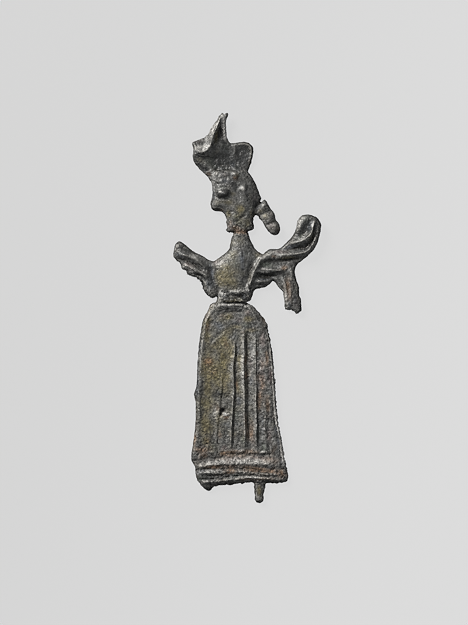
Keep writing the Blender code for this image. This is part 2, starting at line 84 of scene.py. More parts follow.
# The picture is sharpened by this share, on brightness as it is seen.
SHARPNESS = 0.2
GAMMA = 2.2

# The dense mesh: the size of its faces, and how often and how much it is smoothed.
FACE_SIZE = 0.175 * MM
SMOOTH_ROUNDS = 6
SMOOTH_FACTOR = 0.5

# Faces are thinned towards this share of them all. A weight this heavy keeps the thinning on the flat back,
# so it ends when no more of them can go there.
BACK_SHARE = 0.10
BACK_WEIGHT = 1000.0

# How unevenly the drawn lines are worn, as a share of their height.
LINE_WEAR = 0.75

# Lumps of crust: how wide they are, how high, and their own place in the noise.
CRUST_LUMPS = [(0.95, 0.30, 0.0), (0.42, 0.13, 5.0)]

# The casting's grain and its small pits, which are lower and shallower where the lead is smooth.
GRAIN_WIDTH = 0.50
GRAIN_HEIGHT = 0.085
SMOOTH_GRAIN_HEIGHT = 0.025
PIT_WIDTH = 0.62
PIT_DEPTH = 0.12

# Towards the edge the front drops by this much, and at its highest it may stand this far over the solid.
EDGE_DROP = 0.22
TOP_ROOM = 0.08

# How far the edge wanders sideways, and how much further where it is ragged.
EDGE_WANDER = 0.10
RAGGED_WANDER = 0.28

# Hollows: how far around each place is compared with it, and the depth that counts as one.
HOLLOWS = {"hollow": (0.35, 0.15), "deep": (1.3, 0.45)}

# The lights: where each stands, in degrees from +X and up from the floor, how far off, and how it shines.
KEY = dict(azimuth=135.0, height=33.0, distance=0.55, size=0.22, power=5.0, tint=(1.0, 0.985, 0.96))
FILL = dict(azimuth=-40.0, height=55.0, distance=0.60, size=0.40, power=0.3, tint=(0.95, 0.98, 1.0))
SKY = colour(0.96, 0.98, 1.0)
SKY_STRENGTH = 0.21

# The floor: its size, its greys at the left and the right, how far from the middle each is reached, and how
# much of the grey is matt paint and how much is glow.
FLOOR_SIZE = 0.60
FLOOR_DARK = 0.653
FLOOR_LIGHT = 0.724
FLOOR_FADE = 0.10
FLOOR_MATT = 0.05
FLOOR_GLOW = 0.945

# Noise is read askew, so that its grain doesn't run along the figure.
NOISE_TURN = (0.6, 0.9, 0.5)
ASKEW = np.array(Euler(NOISE_TURN).to_matrix())

# The lead's skin, its gunmetal dark, what lies in its hollows and pits, what its crests are worn to, and its
# chalky pale. The gunmetal dark and the black soil also paint shade, and the chalky pale paints highlights.
DULL_LEAD = colour(0.086, 0.086, 0.083)
CLEAN_LEAD = colour(0.116, 0.115, 0.110)
GUNMETAL = colour(0.022, 0.023, 0.023)
EARTH = colour(0.026, 0.023, 0.019)
BLACK_SOIL_AND_SHADE = colour(0.018, 0.018, 0.018)
PIT_SOIL = colour(0.018, 0.017, 0.016)
WORN_LEAD = colour(0.250, 0.242, 0.220)
CHALKY_AND_HIGHLIT_LEAD = colour(0.330, 0.322, 0.306)


def crest(height, width, *points, right=None, taper=1.5, pale=0.0):
    """A raised line: its height, half widths left and right, how its ends taper and how pale its wear and
    painted highlight are.
    """
    return height, width, right or width, taper, pale, points


def cut(depth, width, *points, right=None, taper=1.5, dark=0.0):
    """A sunk line, described as a crest is, with how dark the dirt and painted shade in it are."""
    return -depth, width, right or width, taper, dark, points


def spot(strength, middle, halves, turn=0.0):
    """A soft round place: its strength or height, its middle, its half lengths and its turn in degrees."""
    return middle, halves, turn, strength


# The skirt: its pleats with the furrows between them, and small folds at its left and its middle.
SKIRT_LINES = [
    crest(0.05, 0.20, (-6.3, 34.0), (-6.9, 26.0), (-7.6, 20.5), (-7.75, 13.0), right=0.16, taper=4.0),
    crest(0.15, 0.18, (-3.3, 40.6), (-3.6, 34.0), (-3.7, 27.5), (-4.1, 20.0), (-4.4, 13.4), right=0.13,
          pale=0.45),
    crest(0.17, 0.20, (-0.9, 43.4), (-1.1, 35.6), (-1.05, 28.6), (-1.0, 20.0), (-1.0, 13.4), right=0.14,
          pale=0.55),
    crest(0.16, 0.18, (1.8, 42.6), (1.85, 32.0), (1.9, 22.0), (2.2, 13.2), right=0.13, pale=0.60),
    crest(0.09, 0.18, (4.0, 26.0), (4.15, 20.0), (4.4, 13.4), right=0.16, taper=3.0, pale=0.5),
    cut(0.10, 0.15, (-5.9, 33.0), (-6.4, 25.5), (-7.1, 20.0), (-7.25, 12.8), taper=2.0),
    cut(0.10, 0.18, (-2.8, 40.4), (-3.1, 32.0), (-3.15, 25.4), (-3.5, 19.5), (-3.75, 13.4), right=0.25,
        dark=0.55),
    cut(0.12, 0.30, (-0.15, 43.4), (-0.3, 35.6), (0.05, 30.4), (-0.1, 25.0), (0.0, 20.0), (0.3, 13.4),
        right=0.5, dark=0.20),
    crest(0.14, 0.26, (2.35, 42.0), (2.45, 36.0), (2.35, 29.0), right=0.30),
    cut(0.12, 0.20, (2.35, 29.6), (2.4, 21.0), (2.85, 13.2), right=0.35, dark=0.45),
    cut(0.08, 0.16, (5.0, 24.0), (5.2, 18.0), (5.4, 12.6), right=0.3, taper=2.0),
    cut(0.12, 0.16, (-9.2, 40.2), (-8.4, 41.0), (-7.2, 41.9), (-5.6, 43.5), taper=0.8),
    crest(0.08, 0.15, (-8.6, 40.0), (-7.8, 40.8), (-6.6, 41.6), (-5.2, 43.2), taper=0.8),
    crest(0.10, 0.15, (-6.9, 47.6), (-5.9, 47.9), (-5.3, 48.4), (-5.2, 49.0), taper=0.5),
    cut(0.08, 0.14, (-5.4, 45.8), (-4.6, 46.8), (-3.6, 47.7), taper=0.8),
    crest(0.06, 0.14, (-5.0, 45.6), (-4.2, 46.5), (-3.2, 47.4), taper=0.8),
    cut(0.07, 0.20, (-10.0, 42.6), (-9.4, 44.2), (-8.4, 45.6), taper=0.8),
    crest(0.06, 0.18, (-10.0, 34.9), (-9.0, 35.6), (-8.2, 34.8), (-8.8, 33.8), taper=0.5),
    crest(0.06, 0.18, (-9.4, 31.3), (-8.6, 31.9), (-7.8, 31.5), taper=0.5),
    crest(0.07, 0.16, (-3.3, 23.6), (-2.7, 23.2), (-1.6, 23.4), taper=0.4),
    crest(0.07, 0.16, (-3.2, 22.3), (-2.5, 21.9), (-1.5, 22.1), taper=0.4),
    crest(0.06, 0.16, (-3.2, 21.0), (-2.5, 20.7), (-1.6, 20.9), taper=0.4),
]

# The skirt's edges: the furrow and rims at its right, the rim at its left, and the band along its top.
RIM_LINES = [
    cut(0.16, 0.20, (4.3, 43.7), (5.0, 41.6), (5.4, 38.2), (5.75, 34.7), (5.95, 30.4), (6.35, 24.5),
        (6.8, 20.9), (7.7, 16.5), (8.2, 12.9), (8.75, 10.2), right=0.16, dark=0.6),
    crest(0.16, 0.18, (5.3, 41.8), (5.75, 39.7), (5.95, 37.3), (6.2, 33.8), (6.4, 30.4), (6.7, 25.35),
          (7.15, 22.7), (7.5, 20.0), (8.05, 17.2), (8.6, 13.8), (9.1, 11.1), (9.45, 9.35), right=0.13,
          pale=0.75),
    crest(0.10, 0.20, (0.4, 49.2), (1.4, 47.4), (2.5, 45.7), (3.4, 43.9), right=0.16),
    crest(0.07, 0.22, (-8.0, 48.55), (-9.4, 46.85), (-10.25, 45.45), (-11.0, 40.8), (-11.4, 39.0),
          (-11.7, 35.6), (-11.9, 32.1), right=0.18, taper=4.0),
    cut(0.08, 0.20, (-7.9, 48.0), (-9.0, 46.6), (-9.9, 45.0), taper=1.0),
    cut(0.08, 0.22, (-10.6, 44.0), (-10.9, 41.6), (-10.8, 39.8), taper=1.0),
    crest(0.24, 0.50, (-8.2, 49.1), (-4.0, 49.1), (0.3, 48.9), right=0.4, pale=0.7),
    cut(0.12, 0.26, (-7.4, 47.0), (-6.4, 47.4), (-5.5, 47.6), taper=0.4, dark=0.4),
    cut(0.22, 0.26, (-5.2, 47.4), (-4.4, 47.7), (-3.4, 47.9), taper=0.4, dark=0.4),
    cut(0.16, 0.24, (-3.0, 47.7), (-1.9, 47.8), (-0.7, 47.6), taper=0.4, dark=0.4),
    crest(0.05, 0.30, (6.6, 27.0), (7.25, 23.0), (7.8, 19.5), (8.45, 16.0), (9.05, 12.6), (9.55, 10.2),
          right=0.6, taper=2.0, pale=1.2),
    cut(0.18, 0.18, (4.0, 43.9), (4.8, 43.7), (5.4, 43.6), taper=0.4),
]

# The hem: its three bands, and the creases above, between and below them.
HEM_LINES = [
    crest(0.15, 0.50, (-13.4, 9.1), (-9.4, 10.2), (-6.8, 10.6), (-4.2, 10.7), (-2.0, 11.0), (2.6, 11.0),
          (5.6, 10.8), pale=0.4),
    cut(0.20, 0.26, (-14.2, 7.9), (-12.5, 8.4), (-10.1, 9.0), (-6.4, 9.1), (-4.6, 9.3), right=0.2,
        dark=0.3),
    cut(0.13, 0.26, (-5.4, 9.2), (-3.65, 9.4), (0.6, 9.6), (2.6, 9.2), (5.6, 8.6), right=0.2),
    crest(0.17, 0.26, (-13.2, 7.2), (-10.1, 8.05), (-7.4, 8.2), (-4.4, 8.7), (-2.0, 8.8), (1.8, 8.5),
          (6.1, 7.9), pale=0.25),
    cut(0.24, 0.24, (-13.6, 5.9), (-12.4, 6.1), (-9.4, 6.3), (-6.4, 6.5), (-4.4, 7.2), (0.0, 7.5),
        (3.75, 7.25), (6.4, 6.9), dark=0.3),
    crest(0.16, 0.26, (-11.4, 5.0), (-8.1, 5.5), (-5.6, 5.9), (-3.65, 6.5), (-0.9, 6.65), (1.9, 6.9),
          (5.4, 6.5), pale=0.35),
    cut(0.14, 0.22, (-8.9, 7.3), (-7.6, 7.6), (-6.4, 7.2), taper=0.5),
    crest(0.12, 0.18, (-9.4, 6.5), (-8.4, 6.9), (-7.4, 6.6), taper=0.5),
    crest(0.12, 0.26, (-6.8, 13.7), (-5.2, 13.6), (-4.0, 13.7), (-2.6, 13.3), (-1.2, 13.6), (0.0, 13.2),
          (2.2, 13.5), taper=1.0, pale=0.4),
    crest(0.14, 0.26, (3.2, 13.3), (4.0, 13.5), (4.9, 13.2), taper=0.5),
    cut(0.22, 0.28, (-5.6, 12.9), (-3.4, 12.9), (-0.4, 13.0), (2.4, 12.9), taper=0.8, dark=0.4),
    cut(0.20, 0.24, (2.6, 13.0), (4.0, 12.8), (5.6, 12.9), (7.2, 12.3), taper=0.6),
    cut(0.22, 0.30, (-13.6, 10.6), (-12.4, 11.1), (-10.4, 11.5), (-8.6, 11.6), (-6.8, 12.1), (-5.2, 12.6),
        dark=0.5),
    crest(0.10, 0.26, (-11.4, 12.2), (-9.2, 12.9), (-7.2, 13.5), taper=1.0),
]

# The belt: its upper and lower edges and the creases between them, and the crease round the neck.
BELT_LINES = [
    crest(0.12, 0.34, (-6.8, 52.8), (-5.4, 53.1), (-4.0, 52.9), (-2.6, 53.0), (-1.4, 53.1), (-0.2, 53.4),
          right=0.28),
    crest(0.34, 0.42, (-7.0, 52.2), (-5.6, 52.3), (-4.0, 52.2), taper=0.8, pale=0.5),
    crest(0.08, 0.22, (-3.4, 51.1), (-2.4, 51.0), (-1.3, 50.7), taper=0.8),
    cut(0.24, 0.22, (-6.0, 50.4), (-4.0, 50.2), (-1.8, 50.3), (0.2, 50.1), taper=0.8),
    cut(0.18, 0.26, (-3.6, 52.2), (-2.6, 52.3), (-1.6, 51.9), (-0.8, 51.3), (0.2, 51.1), taper=0.6),
    cut(0.12, 0.26, (-4.4, 54.2), (-3.0, 54.2), (-1.8, 54.3), taper=0.8),
    crest(0.10, 0.30, (-6.7, 52.7), (-6.3, 51.6), (-5.8, 50.8), taper=0.6),
    cut(0.22, 0.24, (-3.8, 67.9), (-2.0, 67.7), (-0.4, 68.0), (0.8, 67.8), taper=0.6),
    crest(0.10, 0.20, (-3.4, 67.2), (-1.8, 67.1), (0.2, 67.2), taper=0.6),
]

# The chest: its raised right edge, and shallow furrows.
CHEST_LINES = [
    crest(0.20, 0.50, (3.9, 62.4), (3.2, 61.0), (2.1, 58.9), (1.5, 57.2), (0.6, 55.4), (-0.1, 53.0),
          right=0.35, taper=1.0, pale=0.35),
    cut(0.16, 0.36, (1.9, 60.4), (1.0, 58.2), (0.2, 56.2), (-1.2, 53.9), taper=1.0),
    cut(0.08, 0.26, (-1.4, 63.4), (-1.25, 62.4), (-1.4, 61.3), taper=0.6),
    cut(0.06, 0.30, (-1.2, 59.2), (-0.8, 58.6), (-0.5, 58.0), taper=0.5),
    cut(0.18, 0.34, (-8.6, 59.6), (-9.0, 57.4), (-8.9, 55.4), (-8.0, 53.4), taper=1.2),
]

# The left wing: its feathers, and the furrows between them.
LEFT_WING_LINES = [
    crest(0.18, 0.34, (-16.6, 62.3), (-15.2, 61.9), (-13.2, 61.6), (-11.9, 61.0), right=0.24, pale=0.5),
    cut(0.16, 0.34, (-17.0, 64.0), (-15.8, 63.6), (-14.6, 63.0), taper=0.8, dark=0.4),
    crest(0.10, 0.26, (-12.8, 60.9), (-11.8, 60.2), (-10.7, 59.9), taper=0.8),
    crest(0.18, 0.34, (-16.0, 59.3), (-14.7, 59.2), (-13.0, 58.4), (-11.4, 57.45), (-9.9, 56.7),
          right=0.24),
    cut(0.22, 0.28, (-17.4, 61.3), (-15.5, 60.7), (-13.4, 59.9), (-11.2, 59.1), (-9.65, 58.1)),
    cut(0.16, 0.30, (-14.4, 57.5), (-12.6, 57.2), (-11.0, 56.3), (-10.2, 55.2)),
    crest(0.14, 0.30, (-10.5, 56.0), (-9.75, 54.7), (-9.2, 53.1), taper=1.0),
    cut(0.12, 0.24, (-16.9, 64.0), (-16.2, 64.4), (-15.4, 63.9), taper=0.8),
]

# The right wing: its feathers from the tip down, and the furrows between them.
RIGHT_WING_LINES = [
    crest(0.16, 0.34, (8.8, 64.1), (10.6, 65.0), (11.85, 65.3), (14.5, 67.3), (15.8, 68.4), (16.4, 69.8),
          (16.7, 71.0), right=0.24, pale=0.3),
    crest(0.16, 0.34, (11.6, 67.1), (12.9, 69.6), (13.6, 71.5)),
    cut(0.24, 0.50, (12.6, 66.9), (13.9, 68.4), (14.7, 69.8), (15.5, 71.2), right=0.7),
    crest(0.14, 0.34, (8.1, 62.2), (10.6, 62.3), (13.1, 62.7), (14.9, 63.1), right=0.3, taper=2.5),
    cut(0.20, 0.34, (8.2, 63.3), (10.4, 63.5), (13.0, 64.3), (15.4, 65.4), (16.8, 67.6)),
    cut(0.26, 0.36, (14.4, 62.0), (12.6, 61.2), (10.6, 61.1), (6.8, 61.2), (4.3, 60.5), (2.5, 59.2)),
    crest(0.16, 0.36, (2.5, 58.7), (4.6, 59.0), (6.8, 58.8), (9.6, 58.5), right=0.3),
    cut(0.24, 0.50, (2.2, 57.2), (4.6, 57.3), (7.6, 57.3)),
    crest(0.18, 0.26, (1.8, 55.65), (3.6, 55.75), (5.5, 55.75), (6.2, 56.1), right=0.36),
    cut(0.16, 0.36, (1.4, 54.7), (3.4, 54.8), (5.2, 55.0), taper=1.0),
]

# The loose feather that hangs at the right.
FEATHER_LINES = [
    crest(0.12, 0.40, (9.0, 56.4), (9.6, 53.6), (9.9, 51.0), (10.0, 49.0), right=0.30, taper=1.0, pale=0.3),
    cut(0.20, 0.26, (10.9, 56.4), (11.2, 53.8), (11.3, 51.2), (11.3, 48.6), taper=1.0, dark=0.3),
    crest(0.08, 0.24, (11.6, 57.2), (12.0, 54.0), (12.1, 51.2), (12.1, 48.8), taper=1.0),
    cut(0.12, 0.22, (12.8, 55.0), (13.0, 52.0), (12.9, 48.6), taper=1.0),
]

# The head in profile: the eye, the nose, the cheek, the back of the head and the chin.
HEAD_LINES = [
    crest(0.13, 0.20, (-8.0, 78.0), (-7.3, 78.9), (-6.2, 79.35), (-5.0, 79.25), (-4.1, 78.8), taper=0.6),
    cut(0.08, 0.20, (-7.6, 76.6), (-6.4, 76.0), (-4.8, 76.2), (-3.8, 77.0), taper=0.8),
    crest(0.12, 0.50, (-0.8, 80.0), (-0.8, 77.6), (-0.95, 75.4), (-0.8, 73.4), taper=1.5, pale=0.3),
    cut(0.16, 0.50, (0.5, 78.2), (0.4, 76.8), (0.9, 75.6), (2.2, 74.6), taper=1.2),
    cut(0.16, 0.36, (-4.1, 80.2), (-3.1, 79.7), (-2.4, 79.1), (-2.6, 78.2), taper=0.8),
    cut(0.10, 0.22, (-8.2, 74.3), (-7.2, 74.1), (-6.0, 74.0), taper=0.8),
    crest(0.08, 0.30, (2.2, 77.8), (2.9, 76.6), (3.1, 75.8), taper=0.8),
    crest(0.10, 0.26, (-8.5, 80.4), (-8.3, 78.6), (-8.3, 76.8), taper=0.8),
    cut(0.12, 0.24, (-4.6, 70.0), (-3.2, 69.4), (-2.0, 69.9), taper=0.6),
    cut(0.12, 0.24, (-3.0, 71.8), (-1.6, 71.4), (-0.4, 71.9), taper=0.6),
    cut(0.16, 0.60, (-4.0, 69.9), (-2.4, 70.6), (-0.8, 71.7), (0.4, 72.6), right=0.40, taper=1.2,
        dark=0.25),
]

# The hair lock: the creases between its three swellings.
LOCK_LINES = [
    cut(0.16, 0.22, (3.1, 72.1), (4.9, 72.9), (6.8, 73.7), taper=0.4),
    cut(0.16, 0.22, (4.2, 69.4), (6.2, 70.1), (8.1, 71.0), taper=0.4),
    cut(0.10, 0.22, (3.4, 75.2), (4.4, 74.2), (5.4, 73.4), taper=0.5),
    crest(0.08, 0.18, (3.8, 74.9), (4.4, 75.3), (4.8, 74.8), taper=0.4),
]

# The headdress: its side flap, spike, panel and lobe.
HEADDRESS_LINES = [
    crest(0.14, 0.22, (-13.3, 88.6), (-10.85, 88.9), (-9.3, 89.4), (-8.65, 91.2), (-7.1, 94.9),
          (-6.56, 96.7)),
    cut(0.20, 0.24, (-13.3, 88.05), (-11.4, 88.25), (-9.4, 88.9), (-8.2, 90.2), (-7.4, 92.0), (-6.6, 95.0)),
    crest(0.16, 0.16, (-13.2, 87.7), (-12.2, 88.0), (-11.2, 87.9), (-9.8, 88.3), taper=0.5),
    crest(0.08, 0.14, (-13.0, 86.9), (-12.3, 87.2), (-11.5, 87.1), taper=0.4),
    cut(0.10, 0.26, (-12.6, 90.4), (-11.6, 90.3), (-10.6, 90.8), taper=0.8),
    cut(0.22, 0.22, (-6.45, 96.4), (-6.5, 94.4), (-6.2, 92.4), (-5.7, 90.8), taper=0.8, dark=0.4),
    crest(0.36, 0.40, (-5.6, 97.0), (-5.45, 94.6), (-5.3, 93.0), (-5.1, 91.8), right=0.5, taper=1.0,
          pale=0.8),
    cut(0.10, 0.40, (-12.9, 86.4), (-12.2, 84.9), (-10.6, 83.4), (-9.2, 82.0)),
    crest(0.14, 0.26, (-10.6, 85.6), (-9.6, 84.6), (-8.6, 83.6), (-7.6, 82.6), taper=0.8),
    cut(0.10, 0.60, (-11.6, 87.0), (-9.6, 86.6), (-7.4, 86.2), (-5.2, 86.6), taper=1.2),
    crest(0.12, 0.16, (-3.0, 89.4), (-3.1, 88.4), (-3.05, 87.6), taper=0.4),
    crest(0.07, 0.12, (-6.4, 88.4), (-6.3, 86.4), (-6.0, 84.4), taper=0.6),
    crest(0.07, 0.12, (-5.6, 88.0), (-5.5, 86.0), (-5.5, 84.2), taper=0.6),
    crest(0.06, 0.12, (-7.4, 87.0), (-7.2, 85.4), (-6.8, 83.8), taper=0.6),
    crest(0.10, 0.26, (-2.4, 90.0), (-0.4, 90.0), (0.9, 89.2), (1.0, 87.4), (0.6, 85.2)),
    cut(0.10, 0.60, (-2.0, 88.6), (-1.4, 86.6), (-1.2, 84.8), taper=1.2),
    cut(0.12, 0.30, (-3.8, 83.4), (-2.9, 83.4), (-2.0, 83.4), taper=0.6),
    cut(0.40, 1.70, (-8.8, 83.2), (-6.6, 83.4), (-4.2, 83.4), (-2.6, 83.3), right=0.3, dark=0.2),
]

# All the fine lines.
FINE_LINES = [
    SKIRT_LINES, RIM_LINES, HEM_LINES, BELT_LINES, CHEST_LINES, LEFT_WING_LINES, RIGHT_WING_LINES,
    FEATHER_LINES, HEAD_LINES, LOCK_LINES, HEADDRESS_LINES,
]

# Bumps, and pits where the height is below nothing.
FINE_SPOTS = [
    # The skirt.
    spot(-0.95, (-6.25, 23.4), (0.55, 0.48)),
    spot(-0.60, (-6.60, 22.4), (0.28, 0.50)),
    spot(0.16, (-5.40, 22.3), (0.65, 0.40), turn=-10.0),
    spot(-0.16, (-9.0, 34.2), (0.30, 0.22)),
    spot(-0.16, (-4.9, 48.6), (0.30, 0.26)),
    # The belt, the chest and the wings.
    spot(0.12, (-13.6, 58.8), (0.60, 0.40), turn=20.0),
    spot(0.12, (-13.9, 60.3), (0.50, 0.40)),
    spot(-0.30, (6.85, 61.5), (0.30, 0.28)),
    spot(-0.12, (-6.0, 57.4), (0.22, 0.22)),
    spot(-0.12, (-3.4, 55.2), (0.20, 0.20)),
    spot(-0.12, (-0.9, 58.4), (0.40, 0.28)),
    spot(0.14, (9.9, 58.8), (0.30, 0.26)),
    # The neck, the hair lock and the head.
    spot(0.12, (-5.8, 77.5), (1.60, 0.90), turn=12.0),
    spot(0.20, (-6.9, 81.5), (0.50, 0.34), turn=20.0),
    spot(0.16, (-6.45, 80.5), (0.45, 0.28), turn=-10.0),
    spot(0.18, (-4.75, 80.9), (0.42, 0.42)),
    spot(0.12, (-5.5, 82.0), (0.36, 0.30)),
    spot(0.30, (-2.95, 82.1), (0.62, 0.66)),
    spot(0.18, (-0.8, 78.4), (0.45, 0.40)),
    spot(-0.22, (0.15, 76.9), (0.30, 0.36)),
    spot(-0.18, (0.15, 75.6), (0.28, 0.30)),
    spot(0.34, (4.3, 74.6), (1.10, 0.95), turn=-20.0),
    spot(0.34, (5.3, 71.7), (1.30, 1.00), turn=-20.0),
    spot(0.36, (6.8, 69.0), (1.25, 1.15)),
    spot(-0.16, (5.0, 71.0), (0.22, 0.22)),
    spot(-0.14, (5.8, 71.9), (0.20, 0.20)),
    # The headdress.
    spot(0.16, (-7.6, 82.3), (0.50, 0.34), turn=40.0),
]

# Where the casting's forms sit a little aside of the photograph's: middle, half lengths, and the way to go.
NUDGES = [
    ((0.8, 26.0), (7.0, 24.0), (0.40, 0.00)),
    ((1.0, 10.9), (14.0, 3.0), (0.00, -1.00)),
    ((2.0, 7.6), (12.0, 2.0), (0.00, -0.30)),
    ((-3.2, 50.6), (4.5, 1.6), (0.00, -0.25)),
    ((-1.2, 53.4), (2.0, 1.6), (0.00, -0.50)),
    ((0.2, 55.0), (1.6, 1.8), (0.40, 0.00)),
    ((-8.4, 55.6), (1.2, 2.6), (0.60, 0.00)),
    ((-11.4, 58.6), (1.6, 1.6), (0.00, -0.70)),
    ((6.0, 57.6), (3.5, 2.2), (0.00, -0.70)),
    ((7.2, 61.0), (1.8, 1.4), (0.00, -0.60)),
    ((14.4, 67.8), (2.6, 2.4), (0.70, -0.75)),
    ((14.4, 64.4), (2.4, 1.8), (0.20, -0.70)),
    ((16.4, 71.0), (1.8, 1.2), (0.60, 0.00)),
    ((-11.0, 88.7), (2.8, 2.0), (0.00, -1.25)),
]

# Where the skin is olive.
OLIVE = [
    # The hem and the foot.
    spot(0.9, (3.0, 3.0), (0.7, 1.6)),
    # The skirt.
    spot(0.42, (-6.8, 36.0), (6.4, 13.0)),
    spot(0.30, (-7.6, 19.0), (6.0, 8.0)),
    spot(0.18, (0.4, 30.0), (5.0, 16.0)),
    spot(0.9, (-9.9, 45.6), (0.9, 2.6), turn=-20.0),
    spot(0.8, (-9.8, 41.4), (0.8, 2.2)),
    spot(0.9, (-4.6, 46.6), (1.2, 0.8), turn=10.0),
    spot(0.9, (0.4, 46.2), (1.3, 0.8)),
    spot(0.5, (-2.8, 44.2), (1.4, 0.7)),
    spot(0.6, (1.4, 43.4), (1.8, 0.7)),
    spot(1.0, (-5.6, 40.6), (1.2, 2.0), turn=-15.0),
    spot(0.8, (-7.6, 39.4), (1.0, 0.9)),
    spot(0.8, (-4.2, 38.0), (0.9, 2.2)),
    spot(0.9, (-9.4, 35.6), (1.6, 2.4)),
    spot(1.0, (-8.8, 33.0), (2.4, 1.8)),
    spot(0.9, (-5.8, 35.6), (1.1, 3.0)),
    spot(1.2, (-9.8, 29.4), (1.1, 3.4)),
    spot(0.8, (-5.6, 30.6), (1.2, 2.4)),
    spot(0.5, (-7.6, 30.2), (1.0, 2.0)),
    spot(0.9, (-1.6, 35.4), (0.8, 1.6)),
    spot(0.8, (-2.3, 29.6), (0.5, 2.0)),
    spot(0.9, (-10.6, 25.0), (1.6, 2.4)),
    spot(1.0, (-10.6, 19.6), (1.4, 2.6)),
    spot(0.9, (-7.4, 21.4), (0.6, 2.0)),
    spot(0.8, (-10.0, 15.6), (1.4, 1.4)),
    # The belt, the chest and the wings.
    spot(0.28, (-4.4, 58.0), (4.0, 6.0)),
    spot(0.9, (-6.0, 56.8), (1.8, 2.4)),
    spot(0.5, (-4.4, 57.2), (1.4, 2.0)),
    spot(0.35, (-3.4, 62.8), (1.6, 2.0)),
    spot(0.35, (-2.4, 65.4), (1.8, 1.4)),
    spot(0.5, (-3.6, 54.8), (2.4, 1.0)),
    spot(0.9, (-3.2, 50.7), (2.6, 0.6)),
    spot(0.7, (3.0, 62.0), (1.2, 0.8), turn=20.0),
    spot(0.4, (0.9, 56.4), (0.6, 2.0), turn=-25.0),
    spot(0.7, (10.6, 61.3), (2.6, 0.5), turn=3.0),
    spot(0.5, (15.8, 66.6), (1.0, 1.8), turn=-30.0),
    # The neck, the hair lock and the head.
    spot(0.28, (-2.0, 71.6), (3.4, 3.4)),
    spot(1.1, (-1.6, 73.6), (1.1, 1.1)),
    spot(1.2, (-4.6, 72.5), (0.7, 1.0)),
    spot(0.6, (-5.4, 75.4), (2.6, 0.9)),
    spot(0.5, (-3.6, 77.3), (0.9, 0.9)),
    spot(0.6, (0.8, 76.4), (0.6, 1.6)),
    spot(0.8, (1.5, 72.4), (0.9, 1.4)),
    spot(0.5, (0.2, 70.0), (0.9, 1.2)),
    spot(0.5, (-2.2, 71.0), (1.0, 1.2)),
    spot(0.8, (4.6, 71.8), (1.0, 0.8)),
    spot(0.7, (3.0, 73.2), (0.8, 0.6)),
    spot(0.5, (-2.8, 82.0), (0.9, 0.7)),
    # The headdress.
    spot(1.0, (-7.5, 91.6), (0.6, 1.8), turn=-10.0),
    spot(0.6, (-11.8, 85.8), (1.0, 1.0)),
    spot(0.6, (0.4, 88.6), (1.2, 1.4)),
    spot(0.4, (-7.8, 87.8), (1.2, 1.0)),
]

